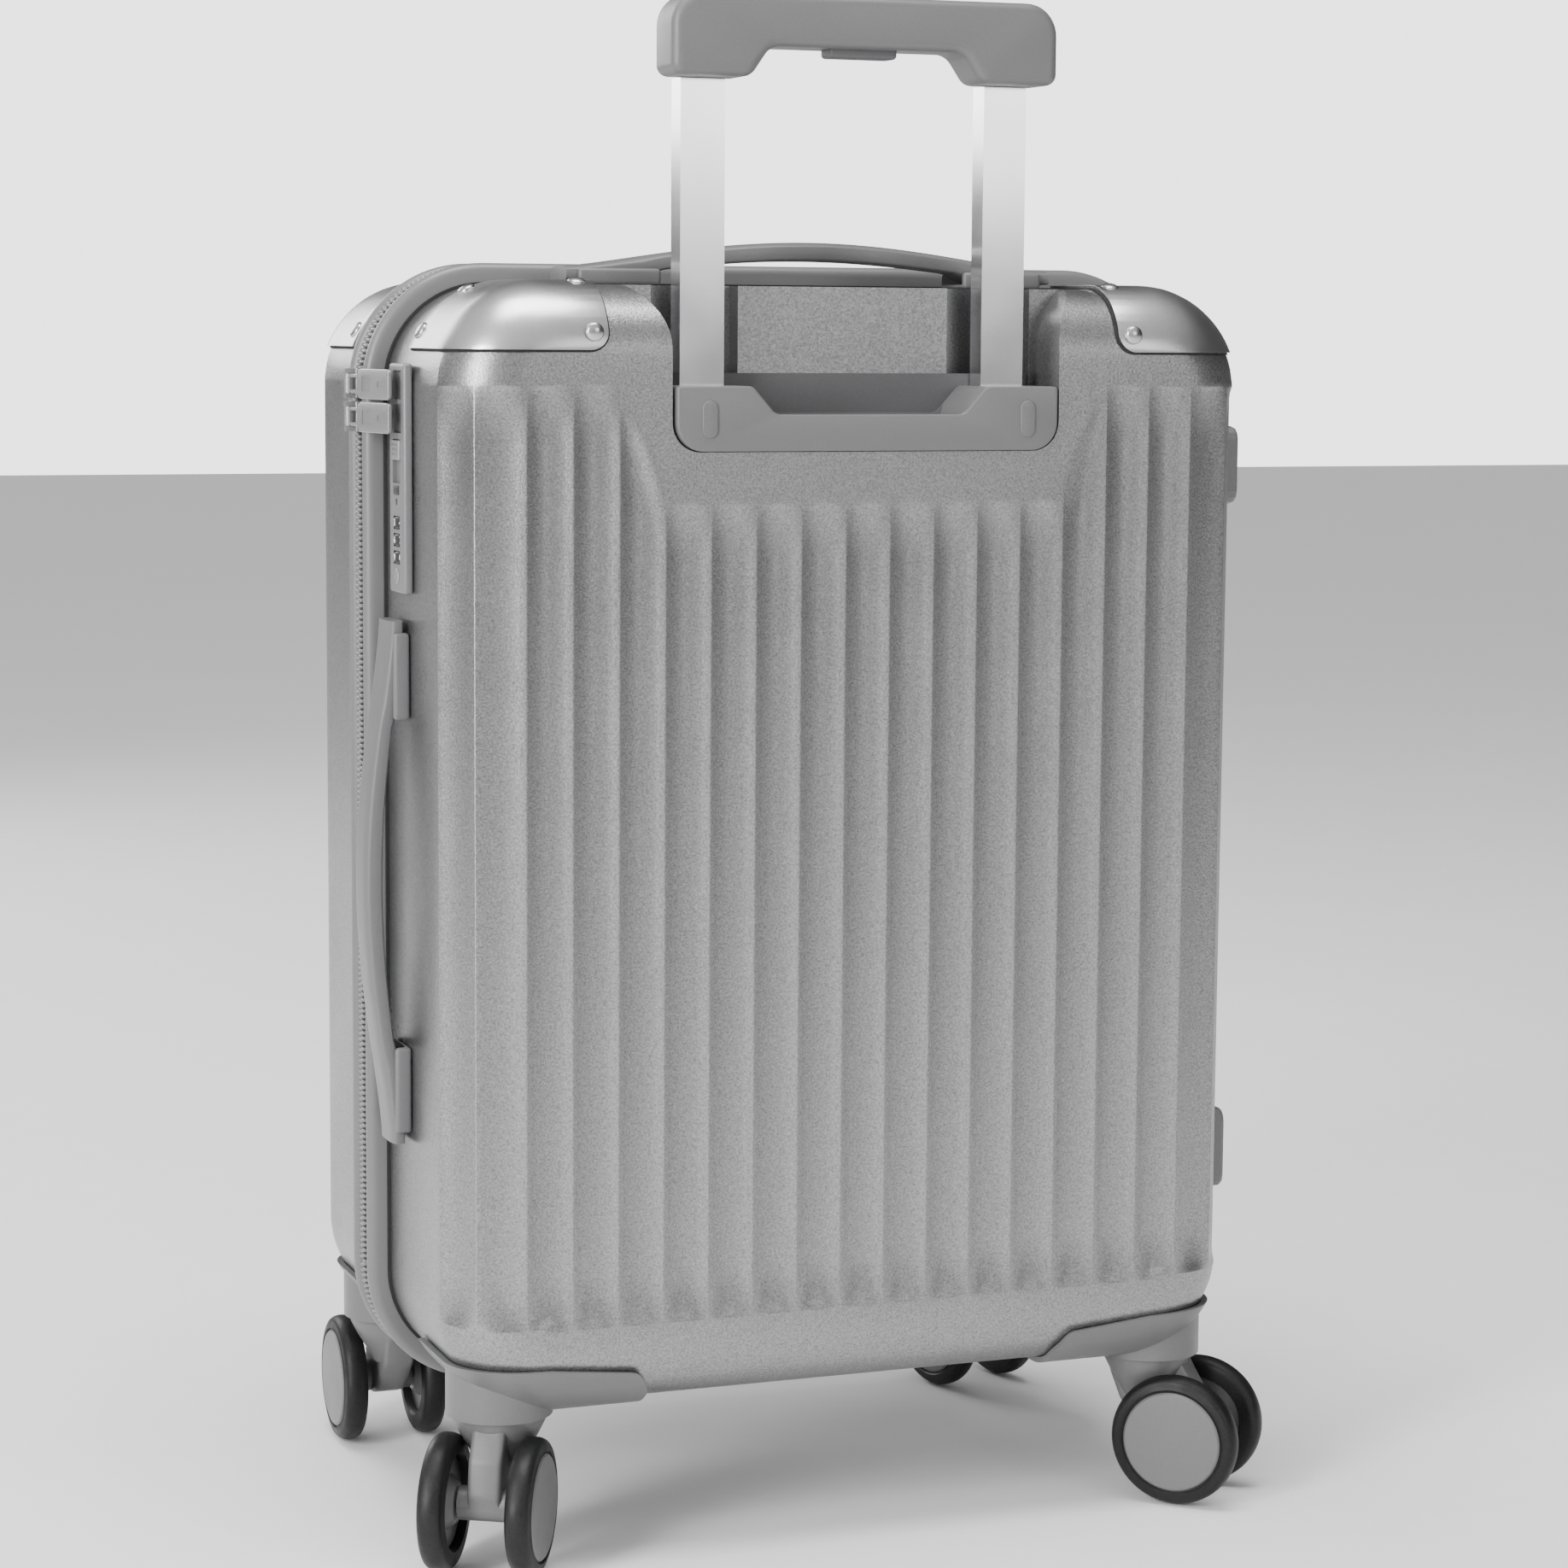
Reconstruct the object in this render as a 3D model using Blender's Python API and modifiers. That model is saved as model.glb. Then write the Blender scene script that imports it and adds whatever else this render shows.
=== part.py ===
"""Hard shell cabin suitcase on four twin-wheel casters: metres, +Z up, the trolley side facing -Y."""

import math

import bmesh
import bpy
import numpy as np
from mathutils import Matrix, Vector

# Case halves
HALF_W = 0.186
FACE_Y = 0.122
BOTTOM_Z = 0.069
TOP_Z = 0.5545
CORNER_R = 0.045
FILLET_R = 0.030
WALL = 0.0035
SHELL_END_Y = 0.0175
MID_Z = (BOTTOM_Z + TOP_Z) / 2
CORE_X = HALF_W - CORNER_R
CORE_Z = (TOP_Z - BOTTOM_Z) / 2 - CORNER_R
FLAT = CORNER_R - FILLET_R
ARC = FILLET_R * math.pi / 2

# Flutes
PITCH = 0.0205
FLUTE_DEPTH = 0.0032
CORNER_RIDGES = (7.5 * PITCH, 0.176, 0.198)
FLUTE_LOW_Z = 0.107
FLUTE_HIGH_Z = 0.513
FLUTE_UNDER_BEZEL_Z = 0.463
FLUTE_END = 0.016

# Piping and zip round the parting plane
RIM_PROUD = 0.010
RIM_INNER = -0.005
RIM_Y = (0.0004, 0.0171)

# Trolley
TUBE_X = 0.070
TUBE_Y = -0.0975
INNER_TUBE = (0.0100, 0.0060)
MID_TUBE = (0.0115, 0.0075)
OUTER_TUBE = (0.0133, 0.0093)
SLIDE_GAP = 0.0003
WELL_X = 0.0895
WELL_Y = -0.0905
CHANNEL_Y = -0.080
CHANNEL_X = 0.049
BEZEL_LOW_Z = 0.4843
BEZEL_TOP_Z = 0.512
BEZEL_Y = (-0.1245, -0.0908)
GRIP_X = 0.0885
GRIP_Y = (-0.119, -0.093)
GRIP_Z = (0.642, 0.655, 0.677)
BUTTON = (0.0155, 0.006, 0.6513, 0.6585)

# Carry handles: where the strap lies out from its wall
STRAP_HALF = 0.115
STRAP_WIDTH = 0.023
STRAP_LOW = 0.0024
STRAP_END_TOP = 0.0085
STRAP_RISE = 0.0115
LEG_AT = 0.094
BRACKET = (0.072, 0.110, 0.014, 0.0076)
HANDLE_Y = -0.042
SIDE_HANDLE_Z = 0.2945

# Lock and zip pulls on the left wall
LOCK_Y = -0.050
LOCK_Z = (0.4215, 0.5205)
LOCK_PROUD = 0.0045
DIAL_X = -0.1835
DIAL_R = 0.008
DIALS_Z = (0.452, 0.4445, 0.437)
PULL_Z = (0.5112, 0.4968)
PULL_AXIS = (-0.2005, -0.0070)
PULL_END = (-0.1945, -0.0550)

# Casters: swivel axis, and the way each one trails
CASTER_X = 0.157
CASTER_Y = 0.090
TRAIL = 0.020
WHEEL_R = 0.030
WHEEL_W = 0.013
WHEEL_AT = 0.0193
FORK_TOP_Z = 0.0655
CASTERS = {
    "bl": (-1, -1, math.atan2(-0.86, -0.51)),
    "br": (1, -1, math.atan2(-0.69, 0.72)),
    "fl": (-1, 1, math.atan2(1.0, 0.02)),
    "fr": (1, 1, math.atan2(0.96, -0.24)),
}
HINGE_X = 0.199

MATERIALS = {
    "shell": ((0.50, 0.51, 0.53), 0.35, 0.6),
    "rim": ((0.33, 0.33, 0.34), 0.6, 0.0),
    "lining": ((0.22, 0.23, 0.25), 0.9, 0.0),
    "trim": ((0.33, 0.34, 0.35), 0.5, 0.0),
    "tube": ((0.82, 0.83, 0.85), 0.25, 1.0),
    "guard": ((0.70, 0.71, 0.73), 0.2, 1.0),
    "lock": ((0.30, 0.31, 0.33), 0.4, 0.5),
    "dial": ((0.05, 0.05, 0.05), 0.5, 0.0),
    "pull": ((0.45, 0.46, 0.48), 0.3, 1.0),
    "wheel": ((0.03, 0.03, 0.03), 0.6, 0.0),
}


def clear():
    for obj in list(bpy.data.objects):
        bpy.data.objects.remove(obj, do_unlink=True)


def collection(name, hidden):
    made = bpy.data.collections.new(name)
    made.hide_render = hidden
    bpy.context.scene.collection.children.link(made)
    return made


def material(slot):
    if slot in bpy.data.materials:
        return bpy.data.materials[slot]
    colour, roughness, metallic = MATERIALS[slot]
    made = bpy.data.materials.new(slot)
    made.use_nodes = True
    shader = made.node_tree.nodes["Principled BSDF"]
    shader.inputs["Base Color"].default_value = (*colour, 1)
    shader.inputs["Roughness"].default_value = roughness
    shader.inputs["Metallic"].default_value = metallic
    return made


def add(bm, name, slot):
    """Object from a bmesh. With no slot it is a cutter."""
    bmesh.ops.recalc_face_normals(bm, faces=bm.faces)
    mesh = bpy.data.meshes.new(name)
    bm.to_mesh(mesh)
    bm.free()
    obj = bpy.data.objects.new(name, mesh)
    if slot:
        PARTS.objects.link(obj)
        mesh.materials.append(material(slot))
    else:
        CUTTERS.objects.link(obj)
        obj.hide_render = True
        obj.display_type = "WIRE"
    return obj


def bevel(obj, width, segments=2, angle=40):
    if width:
        made = obj.modifiers.new("bevel", "BEVEL")
        made.width = width
        made.segments = segments
        made.limit_method = "ANGLE"
        made.angle_limit = math.radians(angle)
    return obj


def join(obj, other, operation="DIFFERENCE"):
    made = obj.modifiers.new(operation.lower(), "BOOLEAN")
    made.operation = operation
    made.solver = "EXACT"
    made.object = other
    return obj


def box(name, slot, lo, hi, width=0.0, segments=2):
    bm = bmesh.new()
    size = Vector(hi) - Vector(lo)
    at = (Vector(hi) + Vector(lo)) / 2
    bmesh.ops.create_cube(bm, size=1, matrix=Matrix.Translation(at) @ Matrix.Diagonal((*size, 1)))
    return bevel(add(bm, name, slot), width, segments)


def prism(name, slot, outline, axis, lo, hi, width=0.0, segments=2):
    """Solid of one outline: (x, z) along Y, (y, z) along X or (x, y) along Z."""
    place = {"X": lambda a, b: (lo, a, b), "Y": lambda a, b: (a, lo, b), "Z": lambda a, b: (a, b, lo)}
    along = {"X": (hi - lo, 0, 0), "Y": (0, hi - lo, 0), "Z": (0, 0, hi - lo)}
    bm = bmesh.new()
    face = bm.faces.new([bm.verts.new(place[axis](a, b)) for a, b in outline])
    raised = bmesh.ops.extrude_face_region(bm, geom=[face])["geom"]
    verts = [v for v in raised if isinstance(v, bmesh.types.BMVert)]
    bmesh.ops.translate(bm, vec=along[axis], verts=verts)
    return bevel(add(bm, name, slot), width, segments)


def cylinder(name, slot, at, axis, radius, length, segments=24):
    turn = {"X": Matrix.Rotation(math.pi / 2, 4, "Y"), "Y": Matrix.Rotation(math.pi / 2, 4, "X")}
    bm = bmesh.new()
    bmesh.ops.create_cone(
        bm,
        cap_ends=True,
        segments=segments,
        radius1=radius,
        radius2=radius,
        depth=length,
        matrix=Matrix.Translation(at) @ turn.get(axis, Matrix()),
    )
    return add(bm, name, slot)


def rounded(points, radii, steps=4):
    """Outline with each corner of a polygon rounded to its own radius."""
    found = []
    count = len(points)
    for i, (point, radius) in enumerate(zip(points, radii)):
        here = Vector(point)
        if not radius:
            found.append(tuple(here))
            continue
        before = (Vector(points[i - 1]) - here).normalized()
        after = (Vector(points[(i + 1) % count]) - here).normalized()
        half = before.angle(after) / 2
        reach = radius / math.tan(half)
        middle = here + (before + after).normalized() * (radius / math.sin(half))
        first = here + before * reach - middle
        turn = first.angle_signed(here + after * reach - middle)
        for k in range(steps + 1):
            step = -turn * k / steps
            found.append(
                (
                    middle.x + first.x * math.cos(step) - first.y * math.sin(step),
                    middle.y + first.x * math.sin(step) + first.y * math.cos(step),
                )
            )
    return found


def case_outline(grown, steps=8):
    wide = HALF_W + grown
    high = (TOP_Z - BOTTOM_Z) / 2 + grown
    corners = [(-wide, MID_Z - high), (wide, MID_Z - high), (wide, MID_Z + high), (-wide, MID_Z + high)]
    return rounded(corners, [CORNER_R + grown] * 4, steps)


def side_profile(run, grown, sunk):
    """(out from the core rectangle, distance from the parting plane) at an arc length past the core."""
    if run <= FLAT:
        return run, FACE_Y + grown - sunk
    turn = min((run - FLAT) / FILLET_R, math.pi / 2)
    radius = FILLET_R + grown - sunk
    past = max(0.0, run - FLAT - ARC)
    return FLAT + radius * math.sin(turn), FACE_Y - FILLET_R + radius * math.cos(turn) - past


def flute_ridges():
    middle = [(i - 7.5) * PITCH for i in range(16)]
    return [-CORNER_RIDGES[2], -CORNER_RIDGES[1], *middle, CORNER_RIDGES[1], CORNER_RIDGES[2]]


def flute_depth(across, z, under_bezel):
    """How far the wall is sunk at an arc length from the middle and a height."""
    ridges = flute_ridges()
    if not ridges[0] < across < ridges[-1]:
        return 0.0
    i = int(np.searchsorted(ridges, across)) - 1
    middle = (ridges[i] + ridges[i + 1]) / 2
    half = (ridges[i + 1] - ridges[i]) / 2
    top = FLUTE_HIGH_Z
    if under_bezel:
        slope = (abs(across) - 4.5 * PITCH) / PITCH
        top = FLUTE_UNDER_BEZEL_Z + (FLUTE_HIGH_Z - FLUTE_UNDER_BEZEL_Z) * min(1.0, max(0.0, slope))
    end = max(0.0, 1 - min(z - FLUTE_LOW_Z, top - z) / FLUTE_END)
    return FLUTE_DEPTH * max(0.0, 1 - ((across - middle) / half) ** 2 - end**2)


def case_point(u, v, grown, side, fluted):
    """Point of the case's skin at arc lengths u across and v up from the middle of its face."""
    a = max(0.0, abs(u) - CORE_X)
    b = max(0.0, abs(v) - CORE_Z)
    sunk = flute_depth(u, MID_Z + v, side < 0) if fluted else 0.0
    out, y = side_profile(max(a, b), grown, sunk)
    angle = 0.0
    if a >= b and a > 0:
        angle = math.pi / 4 * b / a
    elif b > a:
        angle = math.pi / 2 - math.pi / 4 * a / b
    x = math.copysign(min(abs(u), CORE_X) + out * math.cos(angle) * (max(a, b) > 0), u)
    z = math.copysign(min(abs(v), CORE_Z) + out * math.sin(angle) * (max(a, b) > 0), v)
    return x, side * y, MID_Z + z


def case_solid(name, slot, grown, side, end_y, fluted=False):
    """Solid half case, out to end_y from the parting plane."""
    last = FLAT + ARC + FACE_Y - FILLET_R - end_y
    arc = [FLAT + ARC * share for share in (0.25, 0.5, 0.75, 1.0)]
    past = [0.0, FLAT] + arc + [(FLAT + ARC + last) / 2, last]
    if fluted:
        ridges = flute_ridges()
        us = [ridges[0] - 0.0305, ridges[0] - 0.0055]
        for low, high in zip(ridges, ridges[1:]):
            us += [low + (high - low) * k / 4 for k in range(4)]
        us += [ridges[-1], ridges[-1] + 0.0055, ridges[-1] + 0.0305]
        us = [-CORE_X - last, *us, CORE_X + last]
        zs = [0.107, 0.1095, 0.115, 0.123, 0.30, 0.447, 0.455, 0.4605, 0.463, 0.480, 0.497, 0.505, 0.5095]
        vs = [-CORE_Z - p for p in past[:0:-1]] + [z - MID_Z for z in zs] + [CORE_Z + p for p in past[1:]]
    else:
        us = [-CORE_X - p for p in past[::-1]] + [CORE_X + p for p in past]
        vs = [-CORE_Z - p for p in past[::-1]] + [CORE_Z + p for p in past]
    bm = bmesh.new()
    bmesh.ops.create_grid(bm, x_segments=len(us) - 1, y_segments=len(vs) - 1, size=1)
    for vert in bm.verts:
        i = round((vert.co.x + 1) / 2 * (len(us) - 1))
        j = round((vert.co.y + 1) / 2 * (len(vs) - 1))
        vert.co = case_point(us[i], vs[j], grown, side, fluted)
    bmesh.ops.holes_fill(bm, edges=[edge for edge in bm.edges if edge.is_boundary], sides=0)
    bmesh.ops.triangulate(bm, faces=bm.faces)
    return add(bm, name, slot)


def baked(obj):
    """The evaluated mesh of an object, which is then removed."""
    graph = bpy.context.evaluated_depsgraph_get()
    mesh = bpy.data.meshes.new_from_object(obj.evaluated_get(graph))
    bpy.data.objects.remove(obj, do_unlink=True)
    return mesh


def placed(name, mesh, matrix, slot):
    """A copy of a mesh under a matrix, which may mirror it."""
    bm = bmesh.new()
    bm.from_mesh(mesh)
    if matrix.determinant() < 0:
        bmesh.ops.transform(bm, matrix=matrix, verts=bm.verts)
        bmesh.ops.reverse_faces(bm, faces=bm.faces)
        return add(bm, name, slot)
    obj = add(bm, name, slot)
    obj.matrix_world = matrix
    return obj


def pivot(obj, at):
    """Moves an object's origin onto its joint's axis and leaves its shape in place."""
    obj.data.transform(Matrix.Translation(-Vector(at)))
    obj.location = at
    return obj


def handle_frames():
    """Matrices that carry a handle's own frame (length X, width Y, out Z) to the top and to the left wall."""
    top = Matrix.Translation((0, HANDLE_Y, TOP_Z))
    side = Matrix.Translation((-HALF_W, HANDLE_Y, SIDE_HANDLE_Z)) @ Matrix.Rotation(-math.pi / 2, 4, "Y")
    return {"top": top, "side": side}


def strap_outline():
    rise = [(-1 + k / 8) for k in range(17)]
    upper = []
    lower = []
    for t in rise:
        lift = STRAP_RISE * (1 - t * t) ** 1.5
        upper.append((t * STRAP_HALF, STRAP_END_TOP + lift))
        lower.append((t * STRAP_HALF, STRAP_LOW + lift * 0.80 if abs(t) < 0.68 else STRAP_LOW))
    return lower + upper[::-1]


def carry_handles():
    first, last, half, high = BRACKET
    for name, frame in handle_frames().items():
        strap = prism("strap", "trim", strap_outline(), "Y", -STRAP_WIDTH / 2, STRAP_WIDTH / 2)
        bevel(strap, 0.002, 1, 60)
        for end in (-1, 1):
            lo = (end * LEG_AT - 0.005, -0.006, -0.011)
            hi = (end * LEG_AT + 0.005, 0.006, 0.005)
            join(strap, box("leg_tool", None, lo, hi), "UNION")
        mesh = baked(strap)
        placed(f"{name}_handle_strap", mesh, frame, "trim")
        for end, word in ((-1, "a"), (1, "b")):
            lo = min(end * first, end * last)
            block = box("block", "trim", (lo, -half, 0.0003), (lo + last - first, half, high), 0.0015, 2)
            side = STRAP_WIDTH / 2 + 0.0003
            slot = box("channel_tool", None, (-1, -side, 0.0021), (1, side, 1))
            leg = end * LEG_AT
            hole = box("hole_tool", None, (leg - 0.0053, -0.0063, -1), (leg + 0.0053, 0.0063, 1))
            join(block, slot)
            join(block, hole)
            placed(f"{name}_handle_bracket_{word}", baked(block), frame, "trim")


def leg_holes(shell):
    for frame in handle_frames().values():
        for end in (-1, 1):
            at = end * LEG_AT
            hole = box("leg_hole", None, (at - 0.0056, -0.0066, -0.008), (at + 0.0056, 0.0066, 0.004))
            hole.matrix_world = frame
            join(shell, hole)


def well_outline():
    right = [(WELL_X, 0.4840), (WELL_X, 0.530), (0.0915, 0.540), (0.096, 0.548)]
    right += [(0.105, 0.556), (0.105, 0.590)]
    return [(x, z) for x, z in right] + [(-x, z) for x, z in right[::-1]]


def shells():
    back = case_solid("back_shell", "shell", 0, -1, SHELL_END_Y, True)
    join(back, prism("well", None, well_outline(), "Y", -0.150, WELL_Y))
    for end in (-1, 1):
        lo = min(end * CHANNEL_X, end * 0.0887)
        hi = lo + 0.0887 - CHANNEL_X
        join(back, box("channel", None, (lo, -0.140, 0.4840), (hi, CHANNEL_Y, 0.600)))
        x, y = MID_TUBE
        tube = (end * TUBE_X - x - 0.0006, TUBE_Y - y - 0.0006, 0.470)
        join(back, box("tube_hole", None, tube, (end * TUBE_X + x + 0.0006, TUBE_Y + y + 0.0006, 0.490)))
    cavity = case_solid("cavity", None, -WALL, -1, -0.010)
    join(cavity, box("well_wall", None, (-0.0925, -0.150, 0.4803), (0.0925, -0.0765, 0.600)))
    join(cavity, box("well_flare", None, (-0.1085, -0.150, 0.536), (0.1085, WELL_Y + WALL, 0.600)))
    join(back, cavity)
    join(back, box("lock_hole", None, (-0.200, LOCK_Y - 0.0095, 0.4265), (-0.176, LOCK_Y + 0.0095, 0.4895)))
    leg_holes(back)
    front = case_solid("front_shell", "shell", 0, 1, SHELL_END_Y, True)
    join(front, case_solid("front_cavity", None, -WALL, 1, -0.010))
    pivot(front, (HINGE_X, 0, MID_Z))


def rims():
    for name, side in (("back_rim", -1), ("front_rim", 1)):
        lo, hi = sorted(side * y for y in RIM_Y)
        rim = prism(name, "rim", case_outline(RIM_PROUD), "Y", lo, hi)
        bevel(rim, 0.0035, 3, 60)
        join(rim, prism("rim_opening", None, case_outline(RIM_INNER), "Y", -0.040, 0.040))
        if side > 0:
            pivot(rim, (HINGE_X, 0, MID_Z))


def linings():
    tray = prism("back_lining", "lining", case_outline(-0.012), "Y", -0.0745, -0.0178)
    join(tray, prism("back_lining_space", None, case_outline(-0.0134), "Y", -0.0731, 0.010))
    lid = case_solid("front_lining", "lining", -0.0045, 1, 0.0178)
    join(lid, case_solid("front_lining_space", None, -0.0059, 1, -0.010))
    pivot(lid, (HINGE_X, 0, MID_Z))


def bezel():
    outline = [(-0.088, BEZEL_LOW_Z), (0.088, BEZEL_LOW_Z), (0.088, BEZEL_TOP_Z), (0.054, BEZEL_TOP_Z)]
    outline += [(0.0435, 0.500), (-0.0435, 0.500), (-0.054, BEZEL_TOP_Z), (-0.088, BEZEL_TOP_Z)]
    outline = rounded(outline, [0.012, 0.012, 0.001, 0.005, 0.005, 0.005, 0.005, 0.001])
    plate = prism("trolley_bezel", "trim", outline, "Y", *BEZEL_Y)
    bevel(plate, 0.001, 1, 60)
    for end in (-1, 1):
        x, y = (half + SLIDE_GAP for half in MID_TUBE)
        at = end * TUBE_X
        hole = box("bezel_hole", None, (at - x, TUBE_Y - y, 0.4), (at + x, TUBE_Y + y, 0.6))
        join(plate, hole)


def tube(name, at, half, low, high, bore=None):
    x, y = half
    made = box(name, "tube", (at - x, TUBE_Y - y, low), (at + x, TUBE_Y + y, high))
    if bore:
        bx, by = (size + SLIDE_GAP for size in bore)
        inner = (at - bx, TUBE_Y - by, low - 0.01)
        join(made, box("bore", None, inner, (at + bx, TUBE_Y + by, high + 0.01)))
    pivot(made, (at, TUBE_Y, high))


def grip():
    low, under, top = GRIP_Z
    outline = [(-GRIP_X, low), (-0.0505, low), (-0.0460, under), (0.0460, under)]
    outline += [(0.0505, low), (GRIP_X, low), (GRIP_X, top), (-GRIP_X, top)]
    outline = rounded(outline, [0.003, 0.003, 0.004, 0.004, 0.003, 0.003, 0.015, 0.015])
    bar = prism("trolley_grip", "trim", outline, "Y", *GRIP_Y)
    bevel(bar, 0.004, 2, 60)
    x, y, z0, z1 = BUTTON
    middle = (GRIP_Y[0] + GRIP_Y[1]) / 2
    gap = SLIDE_GAP
    low_corner = (-x - gap, middle - y - gap, 0.64)
    join(bar, box("button_pocket", None, low_corner, (x + gap, middle + y + gap, z1 + 0.004)))
    pivot(bar, (0, TUBE_Y, low))
    button = box("release_button", "dial", (-x, middle - y, z0), (x, middle + y, z1), 0.001, 1)
    pivot(button, (0, middle, z0))


def trolley():
    bezel()
    for word, end in (("left", -1), ("right", 1)):
        tube(f"outer_tube_{word}", end * TUBE_X, OUTER_TUBE, 0.0790, 0.4800, MID_TUBE)
        tube(f"mid_tube_{word}", end * TUBE_X, MID_TUBE, 0.100, 0.5112, INNER_TUBE)
        tube(f"inner_tube_{word}", end * TUBE_X, INNER_TUBE, 0.240, 0.6417)
    grip()


def corner_copies(stem, mesh, slot):
    """Four copies of a piece made for the corner at +X and -Y."""
    for word, (sx, sy, _) in CASTERS.items():
        made = placed(f"{stem}_{word}", mesh, Matrix.Diagonal((sx, -sy, 1, 1)), slot)
        if sx * -sy > 0:
            made.data.transform(made.matrix_world)
            made.matrix_world = Matrix()
        if sy > 0:
            pivot(made, (HINGE_X, 0, MID_Z))


def corner_pieces():
    guard = case_solid("guard", "guard", 0.0022, -1, 0.020)
    outline = rounded([(0.118, 0.527), (0.230, 0.527), (0.230, 0.600), (0.118, 0.600)], [0.008, 0, 0, 0])
    join(guard, prism("guard_region", None, outline, "Y", -0.150, -0.050), "INTERSECT")
    join(guard, case_solid("guard_inside", None, 0.0010, -1, 0.010))
    corner_copies("corner_guard", baked(guard), "guard")
    housing = case_solid("housing", "trim", 0.0030, -1, 0.020)
    outline = [(0.100, 0.040), (0.230, 0.040), (0.230, 0.0915), (0.143, 0.0915)]
    outline += [(0.124, 0.087), (0.108, 0.076)]
    join(housing, prism("housing_region", None, outline, "Y", -0.150, -0.052), "INTERSECT")
    boss = cylinder("housing_boss", None, (CASTER_X, -CASTER_Y, 0.0779), "Z", 0.0235, 0.0242, 28)
    join(housing, boss, "UNION")
    join(housing, case_solid("housing_inside", None, 0.0010, -1, 0.010))
    corner_copies("caster_housing", baked(housing), "trim")


def fork_mesh():
    outline = [(-0.015, FORK_TOP_Z), (-0.0165, 0.056), (-0.011, 0.042), (0.006, 0.0255), (0.018, 0.0215)]
    outline += [(0.0265, 0.026), (0.029, 0.035), (0.026, 0.050), (0.017, FORK_TOP_Z)]
    radii = [0, 0.006, 0.01, 0.01, 0.006, 0.006, 0.008, 0.01, 0]
    web = prism("web", "trim", rounded(outline, radii, 2), "Y", -0.0075, 0.0075)
    bevel(web, 0.0015, 1, 60)
    join(web, cylinder("fork_disc", None, (0, 0, FORK_TOP_Z - 0.0028), "Z", 0.0175, 0.0056), "UNION")
    join(web, cylinder("fork_hub", None, (TRAIL, 0, WHEEL_R), "Y", 0.0070, 0.0244, 20), "UNION")
    join(web, cylinder("fork_axle", None, (TRAIL, 0, WHEEL_R), "Y", 0.0030, 0.0466, 16), "UNION")
    return baked(web)


def wheel_mesh():
    """Wheel about Z with its capped outer side up: a Screw of half its section."""
    half = WHEEL_W / 2
    bore_top = 0.0238 - WHEEL_AT
    profile = [(0, half), (0.0225, half), (0.0240, half - 0.0012), (0.0270, half - 0.0008)]
    profile += [(WHEEL_R, half - 0.0035), (WHEEL_R, -half + 0.0035), (0.0265, -half)]
    profile += [(0.0032, -half), (0.0032, bore_top), (0, bore_top)]
    bm = bmesh.new()
    verts = [bm.verts.new((r, 0, h)) for r, h in profile]
    for first, second in zip(verts, verts[1:]):
        bm.edges.new((first, second))
    mesh = bpy.data.meshes.new("wheel")
    bm.to_mesh(mesh)
    bm.free()
    obj = bpy.data.objects.new("wheel", mesh)
    PARTS.objects.link(obj)
    turn = obj.modifiers.new("turn", "SCREW")
    turn.steps = 24
    turn.render_steps = 24
    turn.use_merge_vertices = True
    turn.merge_threshold = 0.00001
    return baked(obj)


def casters():
    fork = fork_mesh()
    wheel = wheel_mesh()
    for word, (sx, sy, heading) in CASTERS.items():
        swivel = Matrix.Translation((sx * CASTER_X, sy * CASTER_Y, 0)) @ Matrix.Rotation(heading, 4, "Z")
        placed(f"caster_fork_{word}", fork, swivel, "trim")
        for side, face in ((-1, "a"), (1, "b")):
            at = Matrix.Translation((TRAIL, side * WHEEL_AT, WHEEL_R))
            turn = Matrix.Rotation(-side * math.pi / 2, 4, "X")
            placed(f"wheel_{word}_{face}", wheel, swivel @ at @ turn, "wheel")


def lock():
    low, high = LOCK_Z
    outer, inner = -HALF_W - LOCK_PROUD, -HALF_W - 0.0003
    body = box("lock_housing", "lock", (outer, LOCK_Y - 0.012, low), (inner, LOCK_Y + 0.012, high))
    bevel(body, 0.0012, 2, 40)
    inside = (-HALF_W - 0.002, LOCK_Y - 0.009, 0.427)
    join(body, box("lock_inside", None, inside, (-0.1745, LOCK_Y + 0.009, 0.489)), "UNION")
    for z in DIALS_Z:
        join(body, cylinder("dial_pocket", None, (DIAL_X, LOCK_Y, z), "Z", DIAL_R + 0.0006, 0.0057, 32))
    middle = (DIALS_Z[0] + DIALS_Z[2]) / 2
    join(body, cylinder("shaft_hole", None, (DIAL_X, LOCK_Y, middle), "Z", 0.0021, 0.028, 16))
    recess = (-0.200, LOCK_Y - 0.0063, 0.4690)
    join(body, box("slider_recess", None, recess, (-0.1887, LOCK_Y + 0.0063, 0.4880)))
    cylinder("dial_shaft", "lock", (DIAL_X, LOCK_Y, middle), "Z", 0.0018, 0.0274, 16)
    for number, z in enumerate(DIALS_Z, 1):
        dial = cylinder(f"lock_dial_{number}", "dial", (DIAL_X, LOCK_Y, z), "Z", DIAL_R, 0.0050, 30)
        join(dial, cylinder("dial_bore", None, (DIAL_X, LOCK_Y, z), "Z", 0.0021, 0.02, 16))
        pivot(dial, (DIAL_X, LOCK_Y, z))
    low, high = (-0.1913, LOCK_Y - 0.006, 0.4790), (-0.1890, LOCK_Y + 0.006, 0.4875)
    knob = box("lock_slider", "lock", low, high, 0.0005, 1)
    pivot(knob, (-0.190, LOCK_Y, 0.483))


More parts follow.
